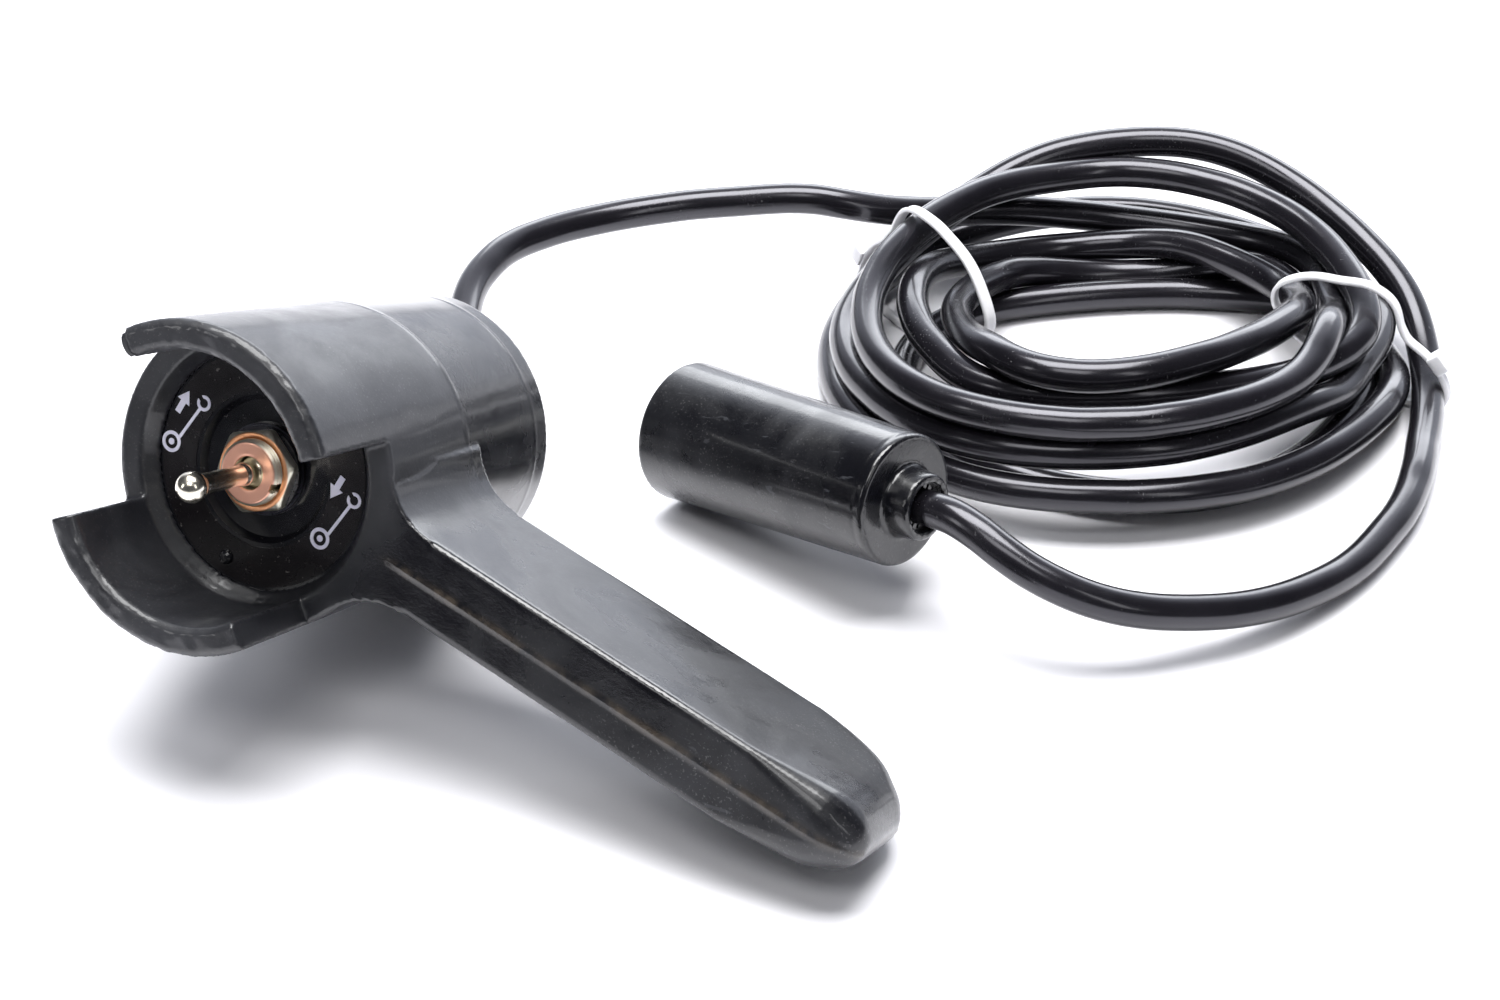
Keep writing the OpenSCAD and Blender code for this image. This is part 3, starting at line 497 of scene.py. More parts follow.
# The cord's route in millimetres: collar of the plug, the free loop, the turns of the coil, the lead to the head.
# Its two leads repeat the route of the CAD tubes.
ROUTE = [
    (44.9, 67.3, 23.5), (50.7, 66.2, 24.3), (56.6, 65.2, 23.4), (62.3, 64.5, 21.5), (67.8, 64.7, 19.3), (73.4, 65.8, 17.2), (78.6, 67.9, 15.1),
    (83.5, 70.8, 13.3), (88, 74.5, 11.7), (92, 78.7, 10.3), (95.9, 83.2, 9.1), (99.5, 87.8, 8.1), (102.6, 92.9, 7.1), (105.3, 98.2, 6.3),
    (107.5, 103.7, 5.6), (109.4, 109.4, 5), (110.8, 115.2, 4.4), (111.8, 121.1, 4.1), (112.3, 127.1, 4), (112.5, 133.1, 4), (112.6, 139.1, 4),
    (112.2, 145.1, 4), (111.3, 151, 4), (110.1, 156.9, 4.3), (108.6, 162.7, 4.1), (106.9, 168.5, 3.7), (105.3, 174.3, 3.5), (103.5, 180, 3.6),
    (101.5, 185.7, 4), (99.3, 191.2, 5), (96.6, 196.4, 6.3), (93.6, 201.3, 8.1), (90.3, 205.9, 10.1), (86.5, 210.1, 12.2), (82, 213.7, 14.3),
    (77.1, 216.7, 16.2), (71.9, 219.2, 18), (66.5, 221.3, 19.9), (60.9, 223, 21.7), (55.3, 224.3, 23.5), (49.5, 225.1, 25.2), (43.6, 225.2, 26.9),
    (37.8, 224.7, 28.3), (31.9, 223.5, 29.3), (26.2, 221.7, 29.8), (20.7, 219.3, 29.8), (15.4, 216.4, 29.5), (10.5, 213, 29.1), (5.9, 209.2, 28.5),
    (1.6, 205, 27.7), (-2.2, 200.6, 26.4), (-5.6, 196, 24.7), (-8.6, 191.2, 22.7), (-11.2, 186.1, 20.8), (-13.5, 181, 18.8), (-15.5, 175.8, 16.9),
    (-17, 170.3, 15.2), (-17.8, 164.5, 13.9), (-17.9, 158.6, 13), (-17.5, 152.6, 12.3), (-16.6, 146.7, 11.9), (-15.1, 140.9, 11.7), (-13, 135.3, 11.6),
    (-10.2, 130.1, 11.7), (-6.7, 125.2, 11.9), (-2.7, 120.7, 12.1), (1.8, 116.7, 12.4), (6.6, 113.2, 12.9), (11.7, 110, 13.3), (17.1, 107.4, 13.9),
    (22.7, 105.3, 14.5), (28.5, 104, 15), (34.4, 103.5, 15.5), (40.3, 104, 15.9), (46.1, 105.5, 16.1), (51.6, 107.9, 16.2), (56.8, 110.8, 16.3),
    (61.7, 114.3, 16.2), (66.3, 118.1, 16.2), (70.6, 122.4, 16.1), (74.3, 127.1, 16), (77.5, 132.2, 15.8), (80.2, 137.5, 15.5), (82.4, 143.1, 15.1),
    (84.2, 148.8, 14.5), (85.8, 154.6, 13.7), (87.1, 160.3, 12.5), (88, 166.2, 11.1), (88.1, 172.2, 10.5), (87.7, 178.2, 10.6), (87.3, 184.2, 10.6),
    (86.7, 190.2, 10.5), (85.5, 196, 10.6), (83.5, 201.6, 10.6), (80.5, 206.6, 10.3), (76.7, 211.2, 9.7), (72.3, 215.1, 9.1), (67.4, 218.4, 8.8),
    (62, 221, 8.6), (56.4, 223, 8.6), (50.6, 224.5, 8.6), (44.7, 225.3, 8.7), (38.7, 225.7, 8.8), (32.7, 225.5, 8.8), (26.7, 224.8, 8.9),
    (20.8, 223.6, 8.9), (15.1, 221.8, 8.9), (9.6, 219.5, 8.7), (4.4, 216.6, 8.5), (-0.6, 213.2, 8.2), (-5.2, 209.3, 7.8), (-9.3, 205, 7.3),
    (-13, 200.4, 6.8), (-16.2, 195.3, 6.2), (-18.9, 190, 5.6), (-21, 184.4, 5.1), (-22.6, 178.7, 4.6), (-23.6, 172.8, 4.2), (-24, 166.8, 3.9),
    (-23.8, 160.8, 3.7), (-23.1, 154.8, 3.5), (-21.7, 149, 3.5), (-19.9, 143.3, 3.5), (-17.5, 137.8, 3.5), (-14.6, 132.5, 3.6), (-11.3, 127.5, 4),
    (-7.6, 122.8, 4.6), (-3.5, 118.5, 5.2), (1, 114.5, 5.7), (5.7, 110.8, 6.2), (10.8, 107.6, 6.6), (16.1, 104.8, 7.1), (21.6, 102.5, 7.5),
    (27.4, 100.9, 8), (33.3, 99.9, 8.5), (39.2, 99.7, 8.9), (45.2, 100.4, 9.3), (50.9, 102, 9.5), (56.5, 104.3, 9.6), (61.7, 107.2, 9.6),
    (66.7, 110.5, 9.4), (71.4, 114.3, 9.2), (75.8, 118.4, 9), (79.8, 122.8, 8.8), (83.5, 127.5, 8.5), (86.7, 132.6, 8.3), (89.4, 138, 8.1),
    (91.6, 143.6, 7.9), (93.3, 149.4, 7.7), (94.4, 155.3, 7.4), (95.2, 161.3, 7.1), (95.6, 167.3, 6.8), (95.7, 173.4, 6.4), (95.1, 179.4, 5.9),
    (93.8, 185.2, 5.2), (91.7, 190.8, 4.4), (88.6, 195.9, 3.8), (84.8, 200.5, 3.5), (80.2, 204.4, 3.5), (75, 207.5, 3.5), (69.4, 209.6, 3.5),
    (63.5, 210.6, 3.5), (57.7, 210.1, 3.5), (52, 208.2, 3.5), (46.5, 205.7, 3.5), (41.1, 203.1, 3.5), (35.8, 200.3, 3.5), (30.8, 197.1, 3.5),
    (25.9, 193.6, 3.5), (21.2, 189.9, 3.5), (16.7, 186, 3.5), (12.3, 181.9, 3.5), (8.2, 177.7, 3.5), (4.3, 173.1, 3.5), (1, 168.2, 3.5),
    (-1.4, 162.8, 3.5), (-2.8, 157.1, 3.5), (-3.2, 151.2, 3.5), (-2.4, 145.3, 3.5), (-0.7, 139.6, 3.5), (1.9, 134.3, 3.5), (5.4, 129.4, 3.5),
    (9.5, 125, 3.5), (14.2, 121.3, 3.5), (19.3, 118.3, 3.5), (24.8, 116, 3.5), (30.6, 114.4, 3.5), (36.6, 113.6, 3.5), (42.5, 113.6, 3.5),
    (48.5, 114.2, 3.5), (54.3, 115.6, 3.5), (60, 117.6, 3.5), (65.3, 120.2, 3.5), (70.4, 123.4, 3.5), (75, 127.2, 3.5), (79, 131.6, 3.5),
    (82.4, 136.4, 3.5), (85, 141.7, 3.5), (86.8, 147.3, 3.5), (88.1, 153, 3.5), (88.9, 158.9, 3.5), (89.3, 164.8, 3.5), (89.3, 170.6, 3.5),
    (88.8, 176.5, 3.5), (87.6, 182.2, 3.5), (85.4, 187.6, 3.5), (82.3, 192.6, 3.7), (78.3, 196.8, 4.3), (73.8, 200.4, 5.4), (68.8, 203.3, 6.9),
    (63.5, 205.7, 8.7), (58, 207.8, 10.1), (52.3, 209.4, 10.4), (46.4, 210.2, 9.3), (40.7, 209.6, 7.4), (35.2, 207.7, 5.8), (29.9, 204.9, 4.7),
    (24.7, 201.6, 4.4), (19.8, 198, 4.6), (15.2, 194.1, 5.3), (11, 189.8, 6.5), (7.6, 185.1, 8), (5.3, 179.8, 9.6), (4.1, 174, 10.9), (3.9, 168.1, 12.3),
    (4.2, 162.1, 13.7), (5, 156.3, 14.9), (6.4, 150.6, 16.1), (8.7, 145.1, 17.2), (11.7, 140.1, 18.4), (15.2, 135.4, 19.7), (19.2, 131.1, 21.2),
    (23.5, 127.3, 22.9), (28.2, 123.9, 24.5), (33.3, 121.1, 25.4), (39, 119.6, 25.9), (44.8, 119.9, 26.2), (50.3, 121.9, 26.3), (55.2, 125.3, 26.3),
    (59.5, 129.5, 26.3), (63.1, 134.3, 26.2), (66.1, 139.5, 26), (68.6, 145, 25.5), (70.4, 150.6, 24.9), (71.9, 156.5, 24.2), (72.8, 162.4, 23.4),
    (73.2, 168.3, 22.5), (73.1, 174.2, 21.4), (72.3, 179.9, 19.9), (70.7, 185.4, 18.1), (68.3, 190.5, 16.4), (64.8, 195, 14.9), (60.4, 198.7, 13.8),
    (55.2, 201.5, 13.3), (49.6, 203.4, 13.2), (43.8, 204.7, 13.2), (38, 205.8, 13), (32.1, 206.3, 12.3), (26.3, 205.9, 11.1), (20.7, 204.6, 9.9),
    (15.3, 202.2, 9.1), (10.4, 199, 8.6), (5.9, 195, 8.6), (2.1, 190.4, 9), (-1, 185.4, 9.7), (-3.4, 180, 10.8), (-5.1, 174.4, 12.2), (-6, 168.7, 13.9),
    (-6.2, 163, 15.7), (-5.7, 157.2, 17.3), (-4.5, 151.4, 18.4), (-2.5, 145.8, 18.9), (0.3, 140.5, 18.9), (3.9, 135.6, 18.9), (8, 131.2, 18.8),
    (12.7, 127.4, 18.7), (17.8, 124.1, 18.4), (23.3, 121.7, 18.1), (29.2, 120.6, 18.1), (35.2, 120.7, 18.5), (41.1, 122, 18.9), (46.7, 124.1, 19.2),
    (51.9, 127.1, 19.3), (56.8, 130.6, 19.3), (61.3, 134.7, 19.2), (65.5, 139, 18.9), (69.4, 143.6, 18.5), (73.2, 148.4, 17.8), (76.6, 153.4, 17.2),
    (79.6, 158.7, 16.6), (82.2, 164.3, 16.4), (84.5, 170, 16.7), (86.2, 175.9, 17.3), (86.4, 182, 18), (84.6, 187.7, 19), (81.3, 192.9, 20.1),
    (77.2, 197.5, 21), (72.8, 201.8, 21.7), (68.2, 205.6, 22.4), (63.1, 208.8, 23.1), (57.7, 211.3, 23.8), (52, 213.1, 24.3), (46.1, 214.2, 24.7),
    (40.1, 214.7, 25), (34.1, 214.5, 25.1), (28.2, 213.7, 25.2), (22.4, 212.1, 25.2), (17, 209.7, 25.2), (12.1, 206.3, 25.2), (7.9, 202.1, 25.3),
    (4.2, 197.5, 25.5), (0.8, 192.6, 25.8), (-2.1, 187.4, 26.1), (-4.5, 181.9, 26.3), (-6.3, 176.2, 26.3), (-7.7, 170.4, 26.2), (-8.8, 164.5, 25.9),
    (-9.5, 158.5, 25.3), (-9.9, 152.6, 24.5), (-9.8, 146.7, 23.6), (-8.9, 140.9, 22.5), (-7.3, 135.2, 21.7), (-4.8, 129.7, 21.1), (-1.8, 124.6, 20.8),
    (1.8, 119.8, 20.7), (6, 115.4, 20.8), (10.6, 111.6, 21.1), (15.6, 108.4, 21.5), (21.1, 106, 21.9), (26.8, 104.4, 22.3), (32.7, 103.6, 22.8),
    (38.7, 103.7, 23.2), (44.6, 104.6, 23.5), (50.4, 106.3, 23.7), (55.8, 108.8, 23.7), (60.9, 112, 23.8), (65.7, 115.7, 23.7), (69.9, 119.9, 23.7),
    (73.7, 124.5, 23.5), (77, 129.6, 23.3), (79.7, 134.9, 22.9), (81.8, 140.5, 22.5), (83.3, 146.3, 22.1), (84.3, 152.3, 22), (84.5, 158.3, 22.4),
    (84, 164.2, 23.3), (82.7, 170.2, 23.5), (81, 175.9, 22.1), (79.4, 181.2, 19.5), (77.8, 186.5, 16.9), (76, 192, 15.1), (73.8, 197.6, 14.4),
    (70.9, 202.9, 14.3), (67.2, 207.7, 14.5), (62.7, 211.6, 14.5), (57.3, 214.4, 14.2), (51.5, 216, 13.6), (45.4, 216.5, 12.9), (39.4, 216.2, 12.5),
    (33.4, 215.4, 12.2), (27.4, 214.1, 12.1), (21.7, 212.3, 12.2), (16.1, 210, 12.5), (10.7, 207.4, 13), (5.4, 204.4, 13.5), (0.4, 201.2, 14.1),
    (-4.6, 197.7, 14.6), (-9.4, 194.1, 14.9), (-13.9, 190.1, 15.3), (-18, 185.8, 15.9), (-21.6, 181.1, 17), (-25.2, 176.5, 18.3), (-29.3, 172.4, 19.7),
    (-33.8, 168.7, 21.1), (-38.8, 165.5, 22.2), (-43.9, 162.3, 22.5), (-48.7, 158.7, 22.5), (-53.2, 154.8, 22.5), (-57.8, 150.9, 22.5),
    (-62.2, 146.8, 22.5), (-66.2, 142.4, 22.5), (-70.1, 137.8, 22.5), (-73.6, 132.9, 22.6), (-76.5, 127.6, 22.9), (-78.9, 122.2, 23.3),
    (-80.8, 116.5, 23.6), (-82.2, 110.6, 23.9), (-82.5, 104.7, 24.1), (-81.9, 98.7, 23.9), (-80.7, 92.8, 23.3), (-78.6, 87.3, 22.6), (-75.7, 82, 21.9),
    (-72.5, 77, 21.3), (-68.9, 72.2, 20.6), (-65.2, 67.6, 20), (-61.6, 62.8, 19.6), (-58.3, 57.8, 19.5), (-55.5, 52.5, 20), (-53.2, 47, 21.3),
    (-51.8, 41.5, 23.2), (-51.6, 38.8, 24.4),
]

# ------------------------------------------------------------------ floor and light
fm = bpy.data.materials.new("floor")
fm.use_nodes = True
fb = fm.node_tree.nodes["Principled BSDF"]
fb.inputs["Base Color"].default_value = (0.92, 0.915, 0.95, 1)
fb.inputs["Roughness"].default_value = 0.55
fb.inputs["Specular IOR Level"].default_value = 0.25
fme = bpy.data.meshes.new("floor")
fme.from_pydata([(-4, -4, 0), (4, -4, 0), (4, 4, 0), (-4, 4, 0)], [], [(0, 1, 2, 3)])
fme.materials.append(fm)
floor = bpy.data.objects.new("floor", fme)
scene.collection.objects.link(floor)

world = bpy.data.worlds.new("world")
scene.world = world
world.use_nodes = True
wt = world.node_tree
bg = wt.nodes["Background"]
# a dim studio, brighter overhead and brightest low down behind the object, where the pale sweep rises
wtc = wt.nodes.new("ShaderNodeTexCoord")
wdot = wt.nodes.new("ShaderNodeVectorMath")
wdot.operation = "DOT_PRODUCT"
wt.links.new(wtc.outputs["Generated"], wdot.inputs[0])
wdot.inputs[1].default_value = (-0.33, 0.94, 0.10)
wmr = wt.nodes.new("ShaderNodeMapRange")
wmr.interpolation_type = "SMOOTHSTEP"
for i, v in zip((1, 2, 3, 4), (0.42, 0.94, 0.07, 1.5)):
    wmr.inputs[i].default_value = v
wt.links.new(wdot.outputs["Value"], wmr.inputs[0])
bg.inputs[0].default_value = (0.85, 0.89, 1.0, 1)
wt.links.new(wmr.outputs[0], bg.inputs[1])


def area(name, loc, target, sx, sy, power, color=(1, 1, 1)):
    ld = bpy.data.lights.new(name, "AREA")
    ld.shape = "RECTANGLE"
    ld.size, ld.size_y = sx, sy
    ld.energy = power
    ld.color = color
    lo_ = bpy.data.objects.new(name, ld)
    scene.collection.objects.link(lo_)
    lo_.location = loc
    lo_.rotation_mode = "QUATERNION"
    lo_.rotation_quaternion = (Vector(target) - Vector(loc)).to_track_quat("-Z", "Y")
    return lo_


# a large soft box overhead, a broad one at the back, and weaker fills round the front
area("overhead", (-0.10, 0.22, 1.35), (0.0, 0.06, 0.0), 1.1, 0.8, 36.0)
area("back", (-0.55, 1.5, 0.65), (0.0, 0.05, 0.05), 1.6, 0.6, 12.0, (0.96, 0.98, 1.0))
area("front_top", (0.25, -0.75, 1.35), (0.0, 0.05, 0.0), 0.8, 0.5, 5.5)
area("front_left", (-0.55, -0.85, 0.50), (-0.05, -0.03, 0.05), 0.14, 0.36, 0.8)
area("right_strip", (0.85, -0.25, 0.60), (-0.05, 0.0, 0.05), 0.12, 0.45, 0.6)

# ------------------------------------------------------------------ the cord: one length from the head to the plug
route = np.array(ROUTE, float) * MM   # from the plug's collar to the head's rear face
path = resample(route[::-1], 0.0016)  # from the head's rear face to the plug's collar
cord = tube("cord", path, 0.0035, 28, M_cord)
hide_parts("cord_lead_head", "cord_coil", "cord_lead_plug")


# ------------------------------------------------------------------ cable ties round the bundle
def hull2(p):
    p = sorted(set(map(tuple, np.round(p, 6))))

    def half(q):
        h = []
        for v in q:
            while len(h) >= 2 and (h[-1][0] - h[-2][0]) * (v[1] - h[-2][1]) - (h[-1][1] - h[-2][1]) * (v[0] - h[-2][0]) <= 0:
                h.pop()
            h.append(v)
        return h

    a, b = half(p), half(p[::-1])
    return np.array(a[:-1] + b[:-1])


def tie(name, a, b, node, reach=(0.0, 0.0), bow=(0.004, 60.0)):
    "a ribbed nylon strap in the upright plane through a and b (xy, mm), pulled round every strand that crosses it"
    a, b = np.array(a, float) * MM, np.array(b, float) * MM
    d = (b - a) / np.linalg.norm(b - a)
    nrm = np.array([-d[1], d[0]])
    P = path
    s = (P[:, :2] - a) @ nrm
    t = (P[:, :2] - a) @ d
    width = np.linalg.norm(b - a)
    pts = []
    for i in range(len(P) - 1):
        if s[i] * s[i + 1] <= 0 and s[i] != s[i + 1]:
            k = s[i] / (s[i] - s[i + 1])
            tt = t[i] + k * (t[i + 1] - t[i])
            if reach[0] * MM <= tt <= width + reach[1] * MM:
                z = P[i, 2] + k * (P[i + 1, 2] - P[i, 2])
                dirv = P[i + 1] - P[i]
                dirv /= np.linalg.norm(dirv)
                c_ = max(abs(dirv[:2] @ nrm), 0.45)
                for q in np.linspace(0, 2 * np.pi, 24, endpoint=False):
                    pts.append((tt + 0.0037 / c_ * np.cos(q), z + 0.0037 * np.sin(q)))
    H = hull2(np.array(pts))
    H[:, 1] = np.maximum(H[:, 1], 0.0009)
    # an even loop that bows a little off the strands, as stiff nylon does
    C = np.vstack([H, H[:1]])
    L = np.r_[0, np.cumsum(np.linalg.norm(np.diff(C, axis=0), axis=1))]
    n = 220
    q = np.linspace(0, L[-1], n, endpoint=False)
    C = np.stack([np.interp(q, L, C[:, 0]), np.interp(q, L, C[:, 1])], 1)
    mid = 0.5 * (C.min(0) + C.max(0))
    ang = np.linspace(-np.pi, np.pi, n, endpoint=False)
    v = C - mid
    o_ = np.argsort(np.arctan2(v[:, 1], v[:, 0]))
    rad_ = np.interp(ang, np.arctan2(v[:, 1], v[:, 0])[o_], np.linalg.norm(v, axis=1)[o_], period=2 * np.pi)
    F = np.fft.rfft(rad_)
    F[5:] = 0
    soft_ = np.fft.irfft(F, n)
    top = np.clip(np.cos(ang - math.radians(bow[1])), 0, 1) ** 1.6
    lift = np.maximum(rad_ - soft_, 0)
    for _ in range(30):
        lift = np.maximum(0.5 * lift + 0.25 * (np.roll(lift, 1) + np.roll(lift, -1)), np.maximum(rad_ - soft_, 0))
    rr_ = soft_ + lift + bow[0] * top
    C = mid + np.stack([rr_ * np.cos(ang), rr_ * np.sin(ang)], 1)
    C[:, 1] = np.maximum(C[:, 1], 0.0009)
    for _ in range(4):
        C = 0.5 * C + 0.25 * (np.roll(C, 1, 0) + np.roll(C, -1, 0))
    L = np.r_[0, np.cumsum(np.linalg.norm(np.diff(np.vstack([C, C[:1]]), axis=0), axis=1))]
    T = np.roll(C, -1, 0) - np.roll(C, 1, 0)
    T /= np.linalg.norm(T, axis=1)[:, None]
    N = np.stack([T[:, 1], -T[:, 0]], 1)          # outward for a counter-clockwise hull
    verts, faces = [], []
    sec = [(-1.25, 0.0), (-1.3, 0.25), (-1.25, 0.75), (-0.9, 1.0), (-0.45, 0.86), (0.45, 0.86), (0.9, 1.0), (1.25, 0.75), (1.3, 0.25), (1.25, 0.0)]
    m_ = len(sec)
    for i in range(n):
        rib = 0.16 * (0.5 + 0.5 * math.cos(2 * math.pi * i * L[-1] / n / 0.0013))
        for w, h in sec:
            hh = h - (rib if abs(w) < 0.6 and h > 0.5 else 0.0)
            c2 = C[i] + N[i] * hh * MM
            xy = a + d * c2[0] + nrm * w * MM
            verts.append((xy[0], xy[1], max(c2[1], 0.0002)))
    for i in range(n):
        j = (i + 1) % n
        for k in range(m_):
            k2 = (k + 1) % m_
            faces.append((i * m_ + k, i * m_ + k2, j * m_ + k2, j * m_ + k))
    strap = make_obj(name, verts, faces, M_tie, True, ROOT)
    return strap, C, N, a, d, nrm


def rounded_box(name, centre, axes, half, r, mat, hole=None):
    bm = bmesh.new()
    bmesh.ops.create_cube(bm, size=2.0)
    for v in bm.verts:
        v.co = Vector((v.co.x * half[0], v.co.y * half[1], v.co.z * half[2]))
    if hole:
        top = [f for f in bm.faces if f.normal.z > 0.9]
        res = bmesh.ops.inset_region(bm, faces=top, thickness=hole[0], depth=0.0)
        for v in top[0].verts:
            v.co.z -= hole[1]
    bmesh.ops.bevel(bm, geom=[e for e in bm.edges], offset=r, segments=3, affect="EDGES", profile=0.6, clamp_overlap=True)
    A = np.stack(axes, 1)
    co = [np.array(centre) + A @ np.array(v.co) for v in bm.verts]
    for v, c_ in zip(bm.verts, co):
        v.co = Vector(c_)
    bmesh.ops.recalc_face_normals(bm, faces=bm.faces)
    me = bpy.data.meshes.new(name)
    bm.to_mesh(me)
    bm.free()
    me.materials.append(mat)
    me.polygons.foreach_set("use_smooth", [True] * len(me.polygons))
    ob = bpy.data.objects.new(name, me)
    scene.collection.objects.link(ob)
    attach(ob, ROOT)
    return ob


tie_pieces = []
for name, a, b, node, reach, bow, where in (
    ("tie_strap_left", (-17.0, 161.9), (24.0, 140.7), "tie_left", (-8, 0), (0.0075, 30.0), 0.0),
    ("tie_strap_right", (63.5, 186.2), (101.0, 188.6), "tie_right", (0, 9), (0.0034, 108.0), 1.0),
):
    strap, C, N, a_, d_, n_ = tie(name, a, b, node, reach, bow)
    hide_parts(node)
    # the head of the tie sits low on the outer side
    i = int(np.argmin(C[:, 0])) if where < 0.5 else int(np.argmax(C[:, 0]))
    low = [k for k in range(len(C)) if C[k, 1] < 0.014 and C[k, 1] > 0.006 and (C[k, 0] - np.mean(C[:, 0])) * (-1 if where < 0.5 else 1) > 0]
    i = low[len(low) // 2] if low else i
    c2 = C[i] + N[i] * 1.9 * MM
    xy = a_ + d_ * c2[0]
    out3 = np.array([*(d_ * N[i, 0]), N[i, 1]])
    along3 = np.array([*(d_ * -N[i, 1]), N[i, 0]])
    w3 = np.array([n_[0], n_[1], 0.0])
    box_ = rounded_box(name.replace("strap", "head"), (xy[0], xy[1], c2[1]), (w3, along3, out3), (0.0022, 0.0022, 0.0017), 0.0005, M_tie, (0.0009, 0.0006))
    tie_pieces += [strap, box_]
# ------------------------------------------------------------------ hand-piece shell
shell = soften("housing", 0.00045, 1, "shell", M_rubber)
co, no = coords(shell), normals(shell)
loc = W2L(co)
nl = no @ RL
x, y, z = loc[:, 0], loc[:, 1], loc[:, 2]
rad = np.hypot(x, z)
# true round surfaces where the exact solid is made of narrow flats
nr = (nl[:, 0] * x + nl[:, 2] * z) / np.maximum(rad, 1e-6)
goal = np.where(y > 1.0, 28.6 - 1.85 * (y - 0.6) / 60.0, 28.58 + 0.62 * (1 - y) / 21.6)
hold = np.clip((0.30 - np.abs(rad - goal)) / 0.12, 0, 1) * (nr > 0.975) * (y > -20.4) * (y < 60.3) * (np.abs(y - 0.9) > 0.0)
goal_in = np.where(y < -0.2, 24.0, rad)
hold_in = np.clip((0.30 - np.abs(rad - goal_in)) / 0.12, 0, 1) * (nr < -0.975) * (y < -0.4) * (y > -20.4)
newr = rad + hold * (goal - rad) + hold_in * (goal_in - rad)
x, z = x * newr / np.maximum(rad, 1e-6), z * newr / np.maximum(rad, 1e-6)
co = L2W(np.stack([x, y, z], 1))
rad = newr
radial_dir = np.stack([x / np.maximum(rad, 1e-6), np.zeros(len(x)), z / np.maximum(rad, 1e-6)], 1) @ RL.T
d = np.zeros(len(co))
# faint hand-moulded waviness, so that no flat is perfectly flat
wav = np.array([noise.noise(Vector(p) * 55.0) + 0.45 * noise.noise(Vector(p) * 140.0) for p in co])
out = np.ones(len(co))
out[(rad < 24.2) & (y > 1.0)] = 0.0
d += 0.085 * wav * out
# ring where the two mould halves of the head meet, and a fine line near the rear
head = (rad > 25.5) & (np.abs(nl[:, 1]) < 0.5) & (y > 4) & (y < 61)
away = 1.0 / (1.0 + np.exp((x - 27.0) * 0.9))
d += np.where(head, 0.10 * np.exp(-((y - 28.5) / 0.5) ** 2) * away, 0)
d += np.where(head, 0.07 * np.exp(-((y - 55.5) / 0.45) ** 2), 0)
# parting line along the handle
hand = (x > 30.5) & (np.abs(nl[:, 2]) < 0.75)
d += np.where(hand, 0.16 * np.exp(-(z / 0.42) ** 2), 0)
# small nicks on the rims of the guards
edge = (y < -20.3) & (rad > 22)
nick = np.array([noise.noise(Vector(p) * 420.0) if e else 0.0 for p, e in zip(co, edge)])
d += np.where(edge, 0.16 * nick - 0.05, 0)
set_coords(shell, co + no * (d * MM)[:, None])

# thin flash left on the upper guard's free corner
a0 = math.radians(139)
tipv, tf = [], []
for i in range(9):
    t = i / 8
    r_ = 24.2 + 4.2 * t
    h_ = 0.9 * math.sin(math.pi * t) ** 0.6
    ang = a0 + 0.010
    p0 = np.array([r_ * math.cos(ang - 0.03), -21.2, r_ * math.sin(ang - 0.03)])
    p1 = np.array([r_ * math.cos(ang + 0.020 * h_), -21.35 - 0.5 * h_, r_ * math.sin(ang + 0.020 * h_)])
    p2 = np.array([r_ * math.cos(ang - 0.03), -20.4, r_ * math.sin(ang - 0.03)])
    tipv += [p0, p1, p2]
for i in range(8):
    for k in range(3):
        k2 = (k + 1) % 3
        tf.append((i * 3 + k, i * 3 + k2, (i + 1) * 3 + k2, (i + 1) * 3 + k))
tf += [(0, 1, 2), (24, 25, 26)]
make_obj("guard_flash", L2W(tipv), tf, M_rubber, True, ROOT)

# ------------------------------------------------------------------ plug
plug = soften("plug_body", 0.0004, 1, "plug_shell", M_plugrub)
co, no = coords(plug), normals(plug)
pl = W2P(co)
rad = np.hypot(pl[:, 0], pl[:, 1])
goal = np.where(pl[:, 2] < 58.2, 14.2 - 1.2 * (pl[:, 2] - 0.6) / 57.5, rad)
hold = np.clip((0.30 - np.abs(rad - goal)) / 0.12, 0, 1) * (pl[:, 2] > 0.9) * (pl[:, 2] < 57.9)
newr = rad + hold * (goal - rad)
pl[:, :2] *= (newr / np.maximum(rad, 1e-6))[:, None]
co = P2W(pl)
rad = newr
wav = np.array([noise.noise(Vector(p) * 70.0) + 0.4 * noise.noise(Vector(p) * 190.0) for p in co])
d = 0.06 * wav * (rad > 12.2)
d -= np.where((rad > 12.2) & (pl[:, 2] > 55.6) & (pl[:, 2] < 57.4), 0.08 * np.exp(-((pl[:, 2] - 56.5) / 0.35) ** 2), 0)
set_coords(plug, co + no * (d * MM)[:, None])

# ------------------------------------------------------------------ nut with its chamfered corners and washer face
AF = 14.3 / 2


def hex_r(t):
    k = (t + math.radians(33)) % (math.pi / 3) - math.pi / 6
    return AF / math.cos(k)


def nut_radial(t, r, yy):
    if r < 50:
        return r, yy
    R = min(hex_r(t), 8.05)
    k = r - 100
    if k < 1:        # chamfer's foot, deeper where the corner reaches further out
        return R, 0.32 + (R - 7.05) * 0.55
    if k < 2:
        return R, 0.55 + (R - 7.05) * 0.55
    return R - 0.12 * (k - 2), yy


lathe("nut", [(5.98, 2.6), (5.98, 0.45), (6.15, 0.22), (6.95, 0.18), (7.05, 0.30), (100, 0), (101.5, 0), (102, 2.45), (103, 2.6), (5.98, 2.6)],
      L2W, M_nut, 288, radial=lambda t, r, yy: nut_radial(-t, r, yy))
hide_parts("hex_nut")

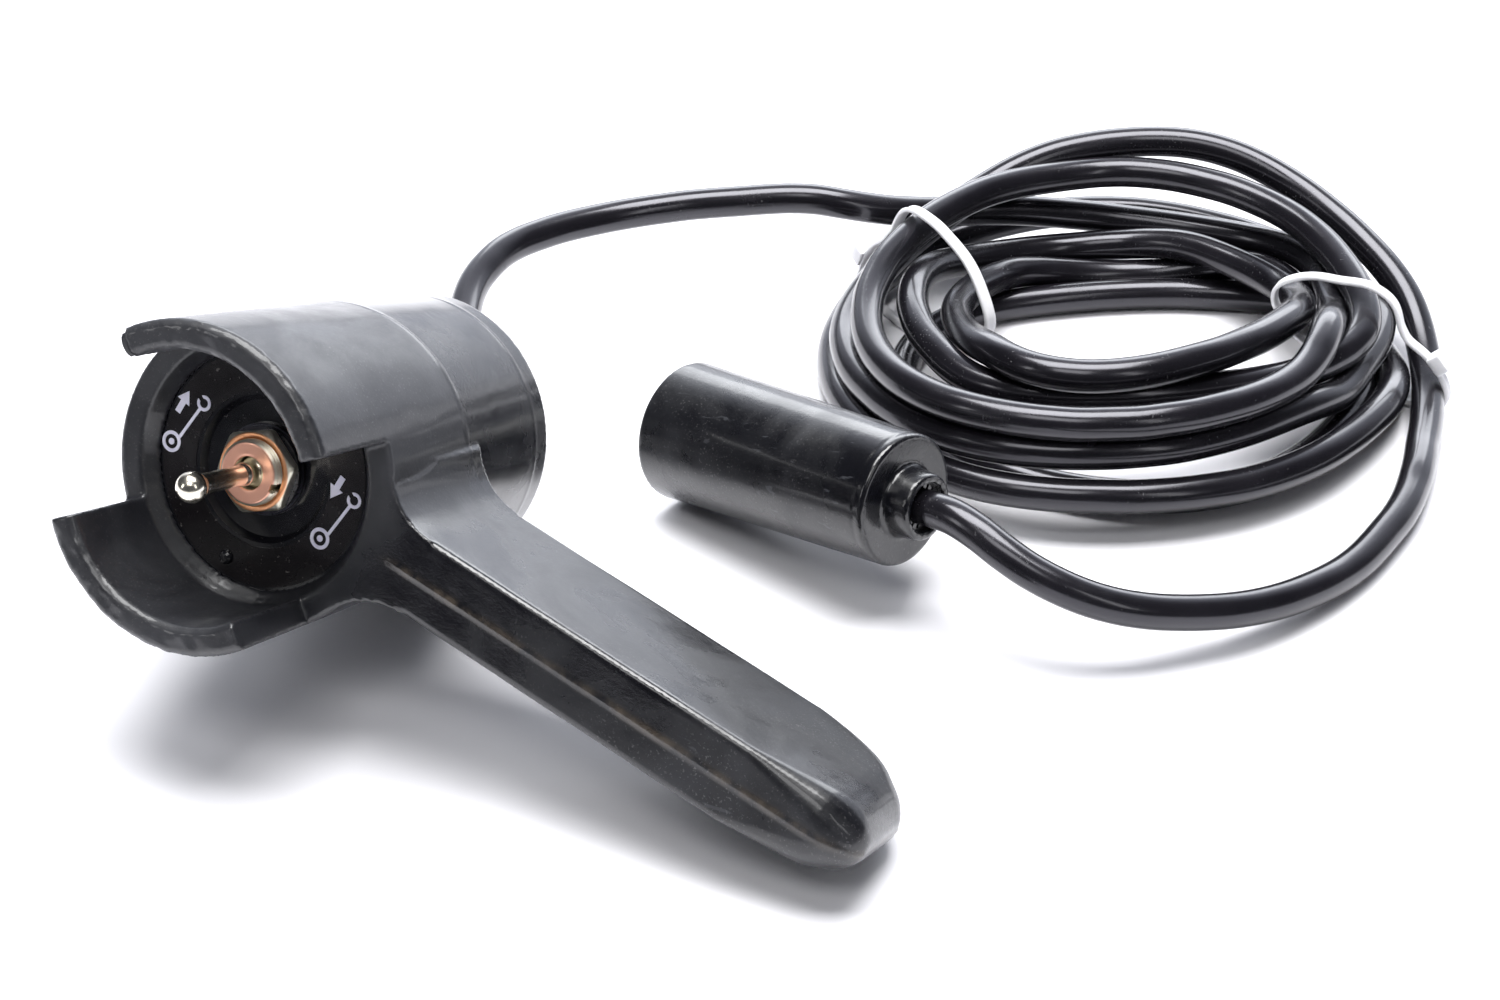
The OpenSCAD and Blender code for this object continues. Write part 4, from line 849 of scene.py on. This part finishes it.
# ------------------------------------------------------------------ threaded bushing with its keyway
prof = [(3.5, 9.9), (3.5, 0.6), (2.95, 0.2), (2.95, -1.15), (3.12, -1.38), (3.5, -1.42), (5.25, -1.42), (5.45, -1.36)]
yy_ = -1.0
while yy_ < 8.0:
    prof += [(5.94, yy_ + 0.02), (5.94, yy_ + 0.16), (5.52, yy_ + 0.42), (5.52, yy_ + 0.50)]
    yy_ += 0.79
prof += [(5.94, 8.6), (7.6, 8.6), (7.6, 9.9), (3.5, 9.9)]


def key_radial(t, r, yy):
    if yy < 8.3 and r > 4.9:
        dx, dz = r * math.cos(t), r * math.sin(t)
        if dx > 0 and abs(dz) < 0.92:
            return 5.02 / math.cos(t) if 5.02 / math.cos(t) < r else r, yy
    return r, yy


lathe("bushing", prof, L2W, M_bush, 240, radial=key_radial, smooth=False)
bpy.data.objects["bushing"].data.polygons.foreach_set("use_smooth", [False] * len(bpy.data.objects["bushing"].data.polygons))
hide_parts("switch_bushing")

# ------------------------------------------------------------------ toggle lever, turned, with its round tip
PIV, REACH, TIP = 2.2, 20.5, 2.8
prof = [(TIP * math.cos(math.radians(q)), PIV - REACH + TIP * math.sin(math.radians(q))) for q in range(-90, 47, 4)]
prof[0] = (0.0, PIV - REACH - TIP)
prof += [(1.98, PIV - REACH + 2.45), (1.93, PIV - REACH + 3.2), (1.80, PIV - 9.6), (1.75, PIV - 7.6), (1.75, PIV - 6.2), (1.85, PIV - 5.8), (2.08, PIV - 5.4), (2.13, PIV - 4.9),
         (1.9, PIV - 4.3), (1.8, PIV - 3.6), (1.8, PIV - 2.9)]
prof += [(3.35 * math.cos(math.radians(q)), PIV + 3.35 * math.sin(math.radians(q))) for q in range(-57, 64, 5)]
prof += [(1.5, PIV + 3.05), (1.5, PIV + 11.6), (1.3, PIV + 11.8), (0.97, PIV + 11.8), (0.97, PIV + 4.7), (0.0, PIV + 4.7)]
lev = lathe("lever_bat", prof, L2W, M_lever, 72, body="lever")
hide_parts("toggle_lever")
